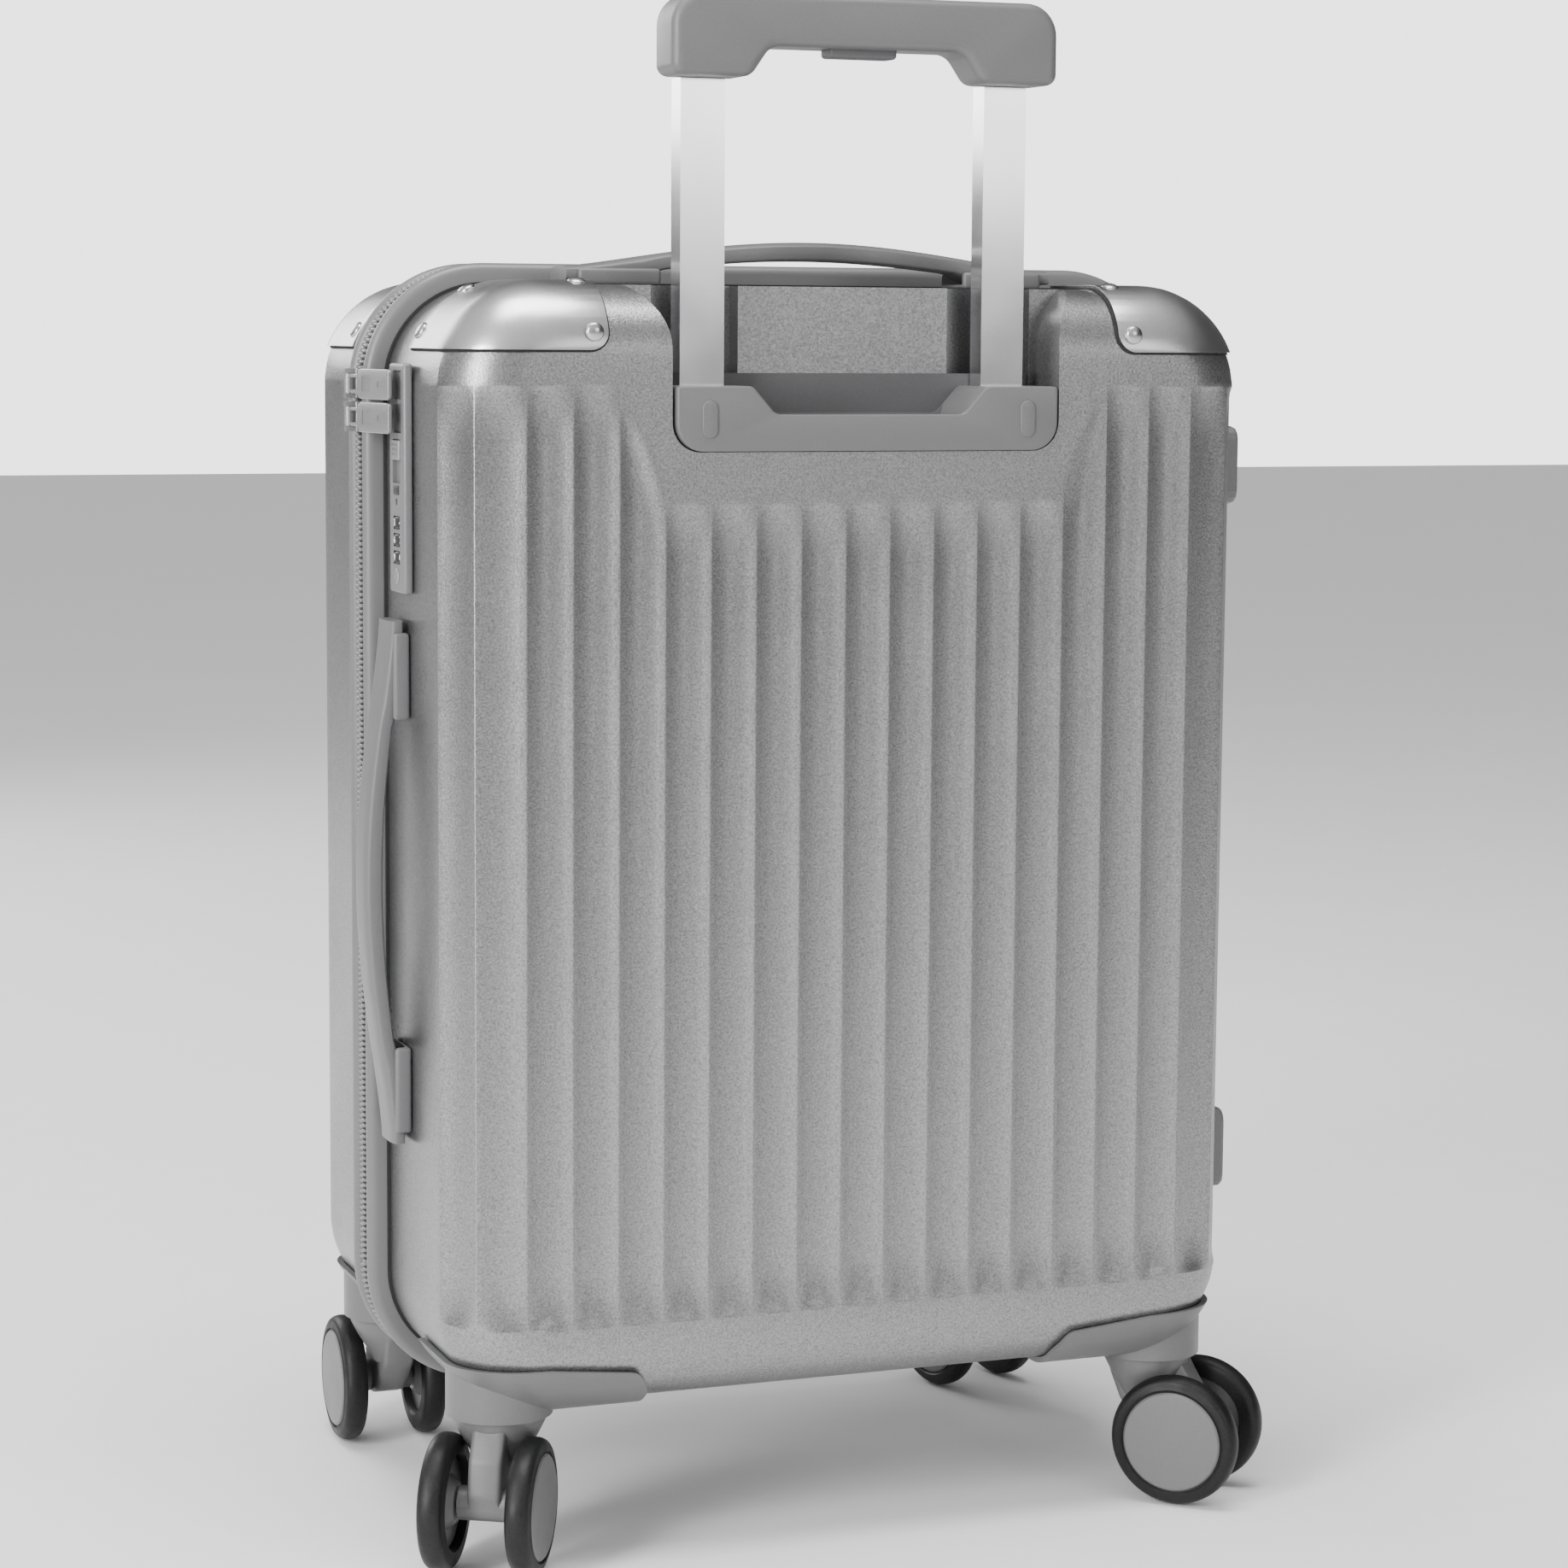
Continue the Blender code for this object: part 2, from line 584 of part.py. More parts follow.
def zip_pulls():
    x, y = PULL_AXIS
    along = Vector(PULL_END) - Vector(PULL_AXIS)
    reach = along.length
    out = Vector((along.y, -along.x)).normalized()
    for word, z in zip(("upper", "lower"), PULL_Z):
        low, high = (-0.1981, -0.0100, z - 0.0066), (-0.1963, 0.0052, z + 0.0066)
        slider = box(f"zip_slider_{word}", "pull", low, high, 0.0005, 1)
        for end in (-1, 1):
            lo = (x - 0.0018, y - 0.0018, z + end * 0.0055 - 0.0010)
            hi = (-0.1975, y + 0.0018, z + end * 0.0055 + 0.0010)
            join(slider, box("lug_tool", None, lo, hi), "UNION")
        join(slider, cylinder("pin_tool", None, (x, y, z), "Z", 0.0009, 0.0124, 12), "UNION")
        pivot(slider, (x, y, z))
        tab = box("tab", "pull", (0.0005, -0.00075, -0.0042), (0.014, 0.00075, 0.0042))
        blade = [(0.012, -0.0066), (reach, -0.0066), (reach, 0.0066), (0.012, 0.0066)]
        blade = rounded(blade, [0.004, 0.003, 0.003, 0.004], 3)
        join(tab, pull_blade(blade), "UNION")
        join(tab, cylinder("eye_tool", None, (0, 0, 0), "Z", 0.0021, 0.0084, 16), "UNION")
        join(tab, cylinder("eye_bore", None, (0, 0, 0), "Z", 0.0012, 0.03, 12))
        heading = math.atan2(along.y, along.x)
        stand = Matrix.Translation((x, y, z)) @ Matrix.Rotation(heading, 4, "Z")
        placed(f"pull_tab_{word}", baked(tab), stand, "pull")


def pull_blade(outline):
    """The flat of a pull tab, as a cutter whose outline is (along, up)."""
    return prism("blade_tool", None, outline, "Y", -0.0010, 0.0010)


def feet():
    for word, low, high in (("upper", 0.457, 0.493), ("lower", 0.134, 0.172)):
        outline = rounded([(-0.069, low), (-0.047, low), (-0.047, high), (-0.069, high)], [0.006] * 4, 3)
        foot = prism(f"side_foot_{word}", "trim", outline, "X", HALF_W + 0.0003, 0.206)
        bevel(foot, 0.002, 2, 60)


clear()
PARTS = collection("suitcase", False)
CUTTERS = collection("cutters", True)
shells()
rims()
linings()
trolley()
corner_pieces()
casters()
carry_handles()
lock()
zip_pulls()
feet()
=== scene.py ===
import math

import bmesh
import bpy
import numpy as np
from mathutils import Matrix, Vector


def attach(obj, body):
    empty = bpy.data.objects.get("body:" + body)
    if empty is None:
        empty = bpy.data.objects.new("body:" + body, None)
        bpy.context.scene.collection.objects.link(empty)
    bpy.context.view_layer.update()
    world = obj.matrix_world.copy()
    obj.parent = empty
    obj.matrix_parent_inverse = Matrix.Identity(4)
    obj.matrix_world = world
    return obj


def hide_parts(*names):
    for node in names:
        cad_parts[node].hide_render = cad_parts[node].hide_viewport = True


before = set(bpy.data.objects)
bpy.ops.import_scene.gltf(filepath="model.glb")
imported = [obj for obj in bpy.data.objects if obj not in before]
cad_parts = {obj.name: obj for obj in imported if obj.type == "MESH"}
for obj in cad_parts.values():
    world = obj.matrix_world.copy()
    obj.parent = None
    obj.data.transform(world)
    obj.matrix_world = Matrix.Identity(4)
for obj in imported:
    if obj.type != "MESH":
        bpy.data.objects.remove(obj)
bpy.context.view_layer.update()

# Case halves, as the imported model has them
HALF_W = 0.186
FACE_Y = 0.122
BOTTOM_Z = 0.069
TOP_Z = 0.5545
CORNER_R = 0.045
FILLET_R = 0.030
WALL = 0.0035
SHELL_END_Y = 0.0175
MID_Z = (BOTTOM_Z + TOP_Z) / 2
CORE_X = HALF_W - CORNER_R
CORE_Z = (TOP_Z - BOTTOM_Z) / 2 - CORNER_R
FLAT = CORNER_R - FILLET_R
ARC = FILLET_R * math.pi / 2
PITCH = 0.0205
FLUTE_DEPTH = 0.0032
LAND = 0.0005
FLUTE_LOW_Z = 0.107
FLUTE_TOP_Z = 0.513
SHORT_FLUTE_TOP_Z = 0.463
FLUTE_RUNOUT = 0.024

# Handle well, its bezel and the grip
WELL_X = 0.0895
WELL_LOW_Z = 0.4840
WELL_STRAIGHT_Z = 0.528
WELL_CORNER_R = 0.0125
WELL_MOUTH_X = 0.105
BEZEL_X = 0.088
BEZEL_LOW_Z = 0.4843
BEZEL_TOP_Z = 0.512
BEZEL_DIP = (0.0435, 0.500)
PAD_X = 0.0735
GRIP_X = 0.0885
GRIP_Z = (0.642, 0.655, 0.677)
GRIP_Y = (-0.119, -0.093)
TUBE_X = 0.070
TUBE_Y = -0.0975
MID_TUBE = (0.0115, 0.0075)

# Carry handles
STRAP_HALF = 0.115
STRAP_TOP = 0.0085
STRAP_RISE = 0.0115
STRAP_THIN = 0.80
HANDLE_Y = -0.042
SIDE_HANDLE_Z = 0.2945
LEG_AT = 0.094

# Lock, dials and zip pulls
LOCK_Y = -0.050
LOCK_PROUD = 0.0045
LOCK_Z = (0.4215, 0.5205)
DIAL_X = -0.1835
DIALS_Z = (0.452, 0.4445, 0.437)
PULL_AXIS = (-0.2005, -0.0070)
PULL_END = (-0.1945, -0.0550)
PULL_Z = (0.5112, 0.4968)

# Corner guards and casters
GUARD_FROM = (0.118, 0.527)
CASTER_X = 0.157
CASTER_Y = 0.090
TRAIL = 0.020
WHEEL_R = 0.030
WHEEL_W = 0.013
WHEEL_AT = 0.0193
CASTERS = {
    "bl": (-1, -1, math.atan2(-0.86, -0.51)),
    "br": (1, -1, math.atan2(-0.69, 0.72)),
    "fl": (-1, 1, math.atan2(1.0, 0.02)),
    "fr": (1, 1, math.atan2(0.96, -0.24)),
}


# ---------------------------------------------------------------- materials


def material(
    name, colour, roughness, metallic=0.0, grain=0.0, bump=0.0, scale=1500.0, vary=0.0, wide=60.0, **extra
):
    """A surface with a fine grain of this scale in its colour and relief, and slow changes of roughness.

    grain is the share by which the colour changes, bump the height of the relief in metres, and vary
    how far the roughness strays, at the scale of wide. extra holds further inputs of the shader.
    """
    made = bpy.data.materials.new(name)
    made.use_nodes = True
    nodes = made.node_tree.nodes
    links = made.node_tree.links
    shader = nodes["Principled BSDF"]
    shader.inputs["Metallic"].default_value = metallic
    for key, value in extra.items():
        shader.inputs[key.replace("_", " ").title().replace("Ior", "IOR")].default_value = value
    place = nodes.new("ShaderNodeTexCoord")
    fine = nodes.new("ShaderNodeTexNoise")
    fine.inputs["Scale"].default_value = scale
    fine.inputs["Detail"].default_value = 3.0
    fine.inputs["Roughness"].default_value = 0.6
    links.new(place.outputs["Object"], fine.inputs["Vector"])
    slow = nodes.new("ShaderNodeTexNoise")
    slow.inputs["Scale"].default_value = wide
    slow.inputs["Detail"].default_value = 4.0
    links.new(place.outputs["Object"], slow.inputs["Vector"])
    ramp = nodes.new("ShaderNodeValToRGB")
    low = [c * (1 - grain) for c in colour]
    high = [min(1.0, c * (1 + grain)) for c in colour]
    ramp.color_ramp.elements[0].position = 0.30
    ramp.color_ramp.elements[1].position = 0.70
    ramp.color_ramp.elements[0].color = (*low, 1)
    ramp.color_ramp.elements[1].color = (*high, 1)
    links.new(fine.outputs["Fac"], ramp.inputs["Fac"])
    links.new(ramp.outputs["Color"], shader.inputs["Base Color"])
    spread = nodes.new("ShaderNodeMapRange")
    spread.inputs["From Min"].default_value = 0.3
    spread.inputs["From Max"].default_value = 0.7
    spread.inputs["To Min"].default_value = max(0.02, roughness - vary)
    spread.inputs["To Max"].default_value = min(1.0, roughness + vary)
    links.new(slow.outputs["Fac"], spread.inputs["Value"])
    links.new(spread.outputs["Result"], shader.inputs["Roughness"])
    if bump:
        relief = nodes.new("ShaderNodeBump")
        relief.inputs["Strength"].default_value = 1.0
        relief.inputs["Distance"].default_value = bump
        links.new(fine.outputs["Fac"], relief.inputs["Height"])
        links.new(relief.outputs["Normal"], shader.inputs["Normal"])
    return made


def woven(name, colour, scale, depth):
    """Cloth with a plain weave: two crossed waves over a little noise."""
    made = material(name, colour, 0.82, 0.0, 0.18, 0.0, 900.0, 0.08, 40.0)
    nodes = made.node_tree.nodes
    links = made.node_tree.links
    shader = nodes["Principled BSDF"]
    shader.inputs["Sheen Weight"].default_value = 0.15
    place = nodes.new("ShaderNodeTexCoord")
    total = None
    for direction in ("X", "Y", "Z"):
        wave = nodes.new("ShaderNodeTexWave")
        wave.bands_direction = direction
        wave.inputs["Scale"].default_value = scale
        wave.inputs["Distortion"].default_value = 0.4
        wave.inputs["Detail"].default_value = 1.0
        links.new(place.outputs["Object"], wave.inputs["Vector"])
        if total is None:
            total = wave.outputs["Fac"]
            continue
        add = nodes.new("ShaderNodeMath")
        add.operation = "ADD"
        links.new(total, add.inputs[0])
        links.new(wave.outputs["Fac"], add.inputs[1])
        total = add.outputs[0]
    relief = nodes.new("ShaderNodeBump")
    relief.inputs["Distance"].default_value = depth
    links.new(total, relief.inputs["Height"])
    links.new(relief.outputs["Normal"], shader.inputs["Normal"])
    return made


SHELL = material("shell_metallic", (0.27, 0.27, 0.274), 0.31, 0.90, 0.34, 0.00012, 1100.0, 0.04, 25.0)
TRIM = material("trim_grey", (0.125, 0.125, 0.128), 0.40, 0.0, 0.10, 0.00004, 2200.0, 0.06, 30.0)
# The trim's grey made darker for the parts set in a recess, the well's back wall and the release button:
# painted shade. Its higher roughness is the surface's own.
TRIM_SHADED = material("trim_recess_shaded", (0.085, 0.085, 0.088), 0.55, 0.0, 0.12, 0.00004, 2200.0, 0.06, 30.0)
PIPING = material("piping_grey", (0.14, 0.14, 0.143), 0.36, 0.0, 0.08, 0.00003, 2600.0, 0.05, 50.0)
TAPE = woven("zip_tape", (0.035, 0.035, 0.037), 420.0, 0.00025)
TEETH = material("zip_teeth", (0.20, 0.20, 0.205), 0.38, 0.3, 0.25, 0.00005, 1800.0, 0.08, 300.0)
LINING = woven("lining_cloth", (0.16, 0.165, 0.18), 330.0, 0.00022)
TUBE = material("tube_satin", (0.92, 0.92, 0.93), 0.16, 1.0, 0.02, 0.0, 900.0, 0.03, 18.0)
GUARD = material("guard_polished", (0.50, 0.50, 0.507), 0.30, 1.0, 0.03, 0.00002, 500.0, 0.04, 35.0)
RIVET = material("rivet_metal", (0.50, 0.50, 0.507), 0.24, 1.0, 0.03, 0.0, 700.0, 0.04, 60.0)
# Near-black for the seam along the rims and the gap round each guard: painted shadow.
SEAM_SHADOW = material("seam_shadow", (0.012, 0.012, 0.012), 0.85, 0.0, 0.30, 0.0, 900.0, 0.05, 60.0)
LOCK = material("lock_grey", (0.17, 0.17, 0.174), 0.40, 0.25, 0.10, 0.00003, 2400.0, 0.06, 60.0)
BLACK = material("dial_black", (0.020, 0.020, 0.022), 0.42, 0.0, 0.30, 0.00003, 2400.0, 0.08, 90.0)
DIGIT = material("digit_white", (0.75, 0.75, 0.74), 0.55, 0.0, 0.06, 0.0, 2400.0, 0.05, 90.0)
PULL = material("pull_satin", (0.28, 0.28, 0.284), 0.34, 0.55, 0.08, 0.00004, 1500.0, 0.06, 90.0)
RUBBER = (0.006, 0.006, 0.0066)
TYRE = material("tyre_rubber", RUBBER, 0.48, 0.0, 0.45, 0.00008, 700.0, 0.12, 60.0, specular_ior_level=0.30)
HUB = material("hub_grey", (0.125, 0.125, 0.128), 0.40, 0.1, 0.09, 0.00003, 2000.0, 0.06, 40.0)


# ---------------------------------------------------------------- mesh tools

SLIVER = 0.00001


def new_object(name, bm, paint, smooth=30):
    bmesh.ops.recalc_face_normals(bm, faces=bm.faces)
    mesh = bpy.data.meshes.new(name)
    bm.to_mesh(mesh)
    bm.free()
    obj = bpy.data.objects.new(name, mesh)
    bpy.context.scene.collection.objects.link(obj)
    if paint:
        mesh.materials.append(paint)
    if smooth:
        soften(obj, smooth)
    return obj


def soften(obj, angle=30):
    obj.data.polygons.foreach_set("use_smooth", [True] * len(obj.data.polygons))
    obj.data.set_sharp_from_angle(angle=math.radians(angle))


def bevel(obj, width, segments=3, angle=40):
    made = obj.modifiers.new("bevel", "BEVEL")
    made.width = width
    made.segments = segments
    made.limit_method = "ANGLE"
    made.angle_limit = math.radians(angle)
    made.harden_normals = False
    return obj


def join(obj, other, operation="DIFFERENCE"):
    made = obj.modifiers.new(operation.lower(), "BOOLEAN")
    made.operation = operation
    made.solver = "EXACT"
    made.object = other
    return obj


def baked(obj, smooth=30):
    """Applies an object's modifiers, removes its cutters and merges the slivers that cuts leave."""
    graph = bpy.context.evaluated_depsgraph_get()
    mesh = bpy.data.meshes.new_from_object(obj.evaluated_get(graph))
    cutters = [m.object for m in obj.modifiers if m.type == "BOOLEAN"]
    obj.modifiers.clear()
    obj.data = mesh
    bm = bmesh.new()
    bm.from_mesh(mesh)
    bmesh.ops.remove_doubles(bm, verts=bm.verts, dist=SLIVER)
    bmesh.ops.dissolve_degenerate(bm, edges=bm.edges, dist=SLIVER)
    bmesh.ops.triangulate(bm, faces=[f for f in bm.faces if len(f.verts) > 4])
    bm.to_mesh(mesh)
    bm.free()
    for cutter in cutters:
        bpy.data.objects.remove(cutter, do_unlink=True)
    if smooth:
        soften(obj, smooth)
    return obj


def box(name, paint, lo, hi):
    bm = bmesh.new()
    size = Vector(hi) - Vector(lo)
    at = (Vector(hi) + Vector(lo)) / 2
    bmesh.ops.create_cube(bm, size=1, matrix=Matrix.Translation(at) @ Matrix.Diagonal((*size, 1)))
    return new_object(name, bm, paint, 0)


def prism(name, paint, outline, axis, lo, hi):
    place = {"X": lambda a, b: (lo, a, b), "Y": lambda a, b: (a, lo, b), "Z": lambda a, b: (a, b, lo)}
    along = {"X": (hi - lo, 0, 0), "Y": (0, hi - lo, 0), "Z": (0, 0, hi - lo)}
    bm = bmesh.new()
    face = bm.faces.new([bm.verts.new(place[axis](a, b)) for a, b in outline])
    raised = bmesh.ops.extrude_face_region(bm, geom=[face])["geom"]
    raised = [item for item in raised if isinstance(item, bmesh.types.BMVert)]
    bmesh.ops.translate(bm, vec=along[axis], verts=raised)
    return new_object(name, bm, paint, 0)


def cylinder(name, paint, at, axis, radius, length, segments=48):
    turn = {"X": Matrix.Rotation(math.pi / 2, 4, "Y"), "Y": Matrix.Rotation(math.pi / 2, 4, "X")}
    bm = bmesh.new()
    matrix = Matrix.Translation(at) @ turn.get(axis, Matrix())
    sizes = {"radius1": radius, "radius2": radius, "depth": length}
    bmesh.ops.create_cone(bm, cap_ends=True, segments=segments, matrix=matrix, **sizes)
    return new_object(name, bm, paint, 0)


def lathe(name, paint, profile, matrix, segments=64, smooth=30):
    """Turns (radius, height) pairs about Z. A radius of 0 makes a pole."""
    bm = bmesh.new()
    rings = []
    for radius, height in profile:
        count = 1 if radius == 0 else segments
        ring = []
        for k in range(count):
            angle = 2 * math.pi * k / segments
            ring.append(bm.verts.new((radius * math.cos(angle), radius * math.sin(angle), height)))
        rings.append(ring)
    for low, high in zip(rings, rings[1:]):
        for k in range(segments):
            quad = [low[k % len(low)], low[(k + 1) % len(low)]]
            quad += [high[(k + 1) % len(high)], high[k % len(high)]]
            face = list(dict.fromkeys(quad))
            if len(face) > 2:
                bm.faces.new(face)
    obj = new_object(name, bm, paint, smooth)
    obj.matrix_world = matrix
    return obj


def rounded(points, radii, steps=8):
    """A closed outline with an arc of the given radius at each corner. A radius of 0 keeps the corner."""
    found = []
    count = len(points)
    for i, (point, radius) in enumerate(zip(points, radii)):
        here = Vector(point)
        if not radius:
            found.append(tuple(here))
            continue
        before = (Vector(points[i - 1]) - here).normalized()
        after = (Vector(points[(i + 1) % count]) - here).normalized()
        half = before.angle(after) / 2
        reach = radius / math.tan(half)
        middle = here + (before + after).normalized() * (radius / math.sin(half))
        first = here + before * reach - middle
        turn = first.angle_signed(here + after * reach - middle)
        for k in range(steps + 1):
            step = -turn * k / steps
            x = middle.x + first.x * math.cos(step) - first.y * math.sin(step)
            found.append((x, middle.y + first.x * math.sin(step) + first.y * math.cos(step)))
    return found


def joined(name, objects, paint):
    """Several meshes as one object."""
    bm = bmesh.new()
    for obj in objects:
        part = bmesh.new()
        part.from_mesh(obj.data)
        bmesh.ops.transform(part, matrix=obj.matrix_world, verts=part.verts)
        mesh = bpy.data.meshes.new("part")
        part.to_mesh(mesh)
        part.free()
        bm.from_mesh(mesh)
        bpy.data.objects.remove(obj, do_unlink=True)
    return new_object(name, bm, paint)


def mirrored(name, obj, sx, sy):
    """A copy scaled by 1 or -1 along X and Y."""
    bm = bmesh.new()
    bm.from_mesh(obj.data)
    bmesh.ops.transform(bm, matrix=Matrix.Diagonal((sx, sy, 1, 1)), verts=bm.verts)
    made = new_object(name, bm, None)
    for paint in obj.data.materials:
        made.data.materials.append(paint)
    return made


def finish_piece(obj, body, slot, *nodes):
    """Puts a piece in the world's axes, hangs it on the empty of the body it rides on, and hides the nodes
    it stands for.
    """
    obj.data.transform(obj.matrix_basis)
    obj.matrix_basis = Matrix.Identity(4)
    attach(obj, body)
    if nodes:
        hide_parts(*nodes)
    return obj


# ---------------------------------------------------------------- case skins


def side_profile(run, grown, sunk):
    """(out, depth) of the skin at a distance run past the flat core, over the fillet and down the side."""
    if run <= FLAT:
        return run, FACE_Y + grown - sunk
    turn = min((run - FLAT) / FILLET_R, math.pi / 2)
    radius = FILLET_R + grown - sunk
    past = max(0.0, run - FLAT - ARC)
    return FLAT + radius * math.sin(turn), FACE_Y - FILLET_R + radius * math.cos(turn) - past


RIDGES = [-0.198, -0.176, *[(i - 7.5) * PITCH for i in range(16)], 0.176, 0.198]


def flute_depth(across, z, under_bezel):
    """How far the skin is sunk. The flutes below the bezel end lower than the outer ones."""
    if not RIDGES[0] < across < RIDGES[-1]:
        return 0.0
    i = int(np.searchsorted(RIDGES, across)) - 1
    middle = (RIDGES[i] + RIDGES[i + 1]) / 2
    half = (RIDGES[i + 1] - RIDGES[i]) / 2 - LAND
    top = FLUTE_TOP_Z
    if under_bezel:
        slope = (abs(across) - 4.5 * PITCH) / PITCH
        top = SHORT_FLUTE_TOP_Z + (FLUTE_TOP_Z - SHORT_FLUTE_TOP_Z) * min(1.0, max(0.0, slope))
    end = max(0.0, 1 - min(z - FLUTE_LOW_Z, top - z) / FLUTE_RUNOUT)
    return FLUTE_DEPTH * max(0.0, 1 - ((across - middle) / half) ** 2) * max(0.0, 1 - end**2)


def case_point(u, v, grown, side, fluted):
    """The point of a half's skin that is u across and v up from the middle, measured along the skin."""
    a = max(0.0, abs(u) - CORE_X)
    b = max(0.0, abs(v) - CORE_Z)
    sunk = flute_depth(u, MID_Z + v, side < 0) if fluted else 0.0
    out, y = side_profile(max(a, b), grown, sunk)
    angle = 0.0
    if a >= b and a > 0:
        angle = math.pi / 4 * b / a
    elif b > a:
        angle = math.pi / 2 - math.pi / 4 * a / b
    x = math.copysign(min(abs(u), CORE_X) + out * math.cos(angle) * (max(a, b) > 0), u)
    z = math.copysign(min(abs(v), CORE_Z) + out * math.sin(angle) * (max(a, b) > 0), v)
    return x, side * y, MID_Z + z


def case_solid(name, paint, grown, side, end_y, fluted=False, fine=10):
    """A solid half of the case out to its skin, closed at end_y. side is -1 for the handle half."""
    last = FLAT + ARC + FACE_Y - FILLET_R - end_y
    past = [0.0, FLAT / 2] + [FLAT + ARC * k / fine for k in range(fine + 1)]
    past += [FLAT + ARC + (last - FLAT - ARC) * k / 4 for k in (1, 2, 3, 4)]
    if fluted:
        us = []
        for low, high in zip(RIDGES, RIDGES[1:]):
            us.append(low)
            us += [low + LAND + (high - low - 2 * LAND) * k / 8 for k in range(9)]
        us.append(RIDGES[-1])
        edge = [p for p in past if p > RIDGES[-1] - CORE_X + 0.001]
        us = [-CORE_X - p for p in edge[::-1]] + us + [CORE_X + p for p in edge]
        low_end = [FLUTE_LOW_Z + d for d in (0, 0.002, 0.0045, 0.0075, 0.011, 0.015, 0.020, 0.024)]
        mid = [0.16, 0.28, 0.40]
        rise = [0.439, 0.443, 0.448, 0.452, 0.4555, 0.4585, 0.461, 0.463, 0.468, 0.474]
        rise += [0.480, 0.486, 0.490, 0.494, 0.4985, 0.5025, 0.5065]
        zs = [*low_end, *mid, *rise]
        upper = [CORE_Z + p for p in (0.0012, 0.0026, 0.0035, 0.006)] + [CORE_Z + p for p in past[2:]]
        vs = [-CORE_Z - p for p in past[:1:-1]] + [-CORE_Z - 0.006, -CORE_Z - 0.002]
        vs += [z - MID_Z for z in zs if z < MID_Z + CORE_Z] + [CORE_Z] + upper
        vs = sorted(set(round(v, 6) for v in vs))
    else:
        us = [-CORE_X - p for p in past[::-1]] + [CORE_X + p for p in past]
        vs = [-CORE_Z - p for p in past[::-1]] + [CORE_Z + p for p in past]
    bm = bmesh.new()
    bmesh.ops.create_grid(bm, x_segments=len(us) - 1, y_segments=len(vs) - 1, size=1)
    for vert in bm.verts:
        i = round((vert.co.x + 1) / 2 * (len(us) - 1))
        j = round((vert.co.y + 1) / 2 * (len(vs) - 1))
        vert.co = case_point(us[i], vs[j], grown, side, fluted)
    bmesh.ops.holes_fill(bm, edges=[edge for edge in bm.edges if edge.is_boundary], sides=0)
    bmesh.ops.triangulate(bm, faces=bm.faces)
    return new_object(name, bm, paint, 0)


def case_outline(grown, steps=24):
    wide = HALF_W + grown
    high = (TOP_Z - BOTTOM_Z) / 2 + grown
    corners = [(-wide, MID_Z - high), (wide, MID_Z - high), (wide, MID_Z + high), (-wide, MID_Z + high)]
    return rounded(corners, [CORNER_R + grown] * 4, steps)


def well_outline():
    """The well's cut as (x, z) pairs: round low corners, straight sides, and a mouth that flares out."""
    right = []
    for k in range(9):
        a = math.pi / 2 * k / 8
        x = WELL_X - WELL_CORNER_R * (1 - math.sin(a))
        right.append((x, WELL_LOW_Z + WELL_CORNER_R * (1 - math.cos(a))))
    right.append((WELL_X, WELL_STRAIGHT_Z))
    for k in range(1, 13):
        t = k / 12
        right.append((WELL_X + (WELL_MOUTH_X - WELL_X) * t**2.2, WELL_STRAIGHT_Z + 0.028 * t))
    right.append((WELL_MOUTH_X, 0.590))
    return right + [(-x, z) for x, z in right[::-1]]


def handle_frames():
    top = Matrix.Translation((0, HANDLE_Y, TOP_Z))
    side = Matrix.Translation((-HALF_W, HANDLE_Y, SIDE_HANDLE_Z)) @ Matrix.Rotation(-math.pi / 2, 4, "Y")
    return {"top": top, "side": side}


def even_normals(obj):
    """Lets the large faces decide the shading, so that thin slivers left by the cuts do not show."""
    weighted = obj.modifiers.new("weighted", "WEIGHTED_NORMAL")
    weighted.mode = "FACE_AREA"
    weighted.weight = 90
    weighted.keep_sharp = True


def shells():
    back = case_solid("back_skin", SHELL, 0, -1, SHELL_END_Y, True)
    join(back, prism("well", None, well_outline(), "Y", -0.150, -0.0905))
    for end in (-1, 1):
        lo = min(end * 0.049, end * 0.0887)
        hi = lo + 0.0887 - 0.049
        join(back, box("channel", None, (lo, -0.0915, WELL_LOW_Z), (hi, -0.080, 0.600)))
        x, y = MID_TUBE
        low = (end * TUBE_X - x - 0.0006, TUBE_Y - y - 0.0006, 0.470)
        join(back, box("tube_hole", None, low, (end * TUBE_X + x + 0.0006, TUBE_Y + y + 0.0006, 0.490)))
    cavity = case_solid("cavity", None, -WALL, -1, -0.010, fine=6)
    join(cavity, box("well_wall", None, (-0.0925, -0.150, 0.4803), (0.0925, -0.0765, 0.600)))
    join(cavity, box("well_flare", None, (-0.1085, -0.150, 0.528), (0.1085, -0.0870, 0.600)))
    baked(cavity, 0)
    join(back, cavity)
    low = (-0.200, LOCK_Y - 0.0095, 0.4265)
    join(back, box("lock_hole", None, low, (-0.176, LOCK_Y + 0.0095, 0.4895)))
    for matrix in handle_frames().values():
        for end in (-1, 1):
            at = end * LEG_AT
            hole = box("leg_hole", None, (at - 0.0056, -0.0066, -0.008), (at + 0.0056, 0.0066, 0.004))
            hole.matrix_world = matrix
            join(back, hole)
    even_normals(finish_piece(baked(back, 42), "back_half", "shell", "back_shell"))
    front = case_solid("front_skin", SHELL, 0, 1, SHELL_END_Y, True)
    join(front, case_solid("front_cavity", None, -WALL, 1, -0.010, fine=6))
    even_normals(finish_piece(baked(front, 42), "lid", "shell", "front_shell"))


TEETH_OUT = 0.0074
TEETH_PITCH = 0.00125
TEETH_Y = 0.0019
TOOTH = (0.0014, 0.0046, 0.0034)


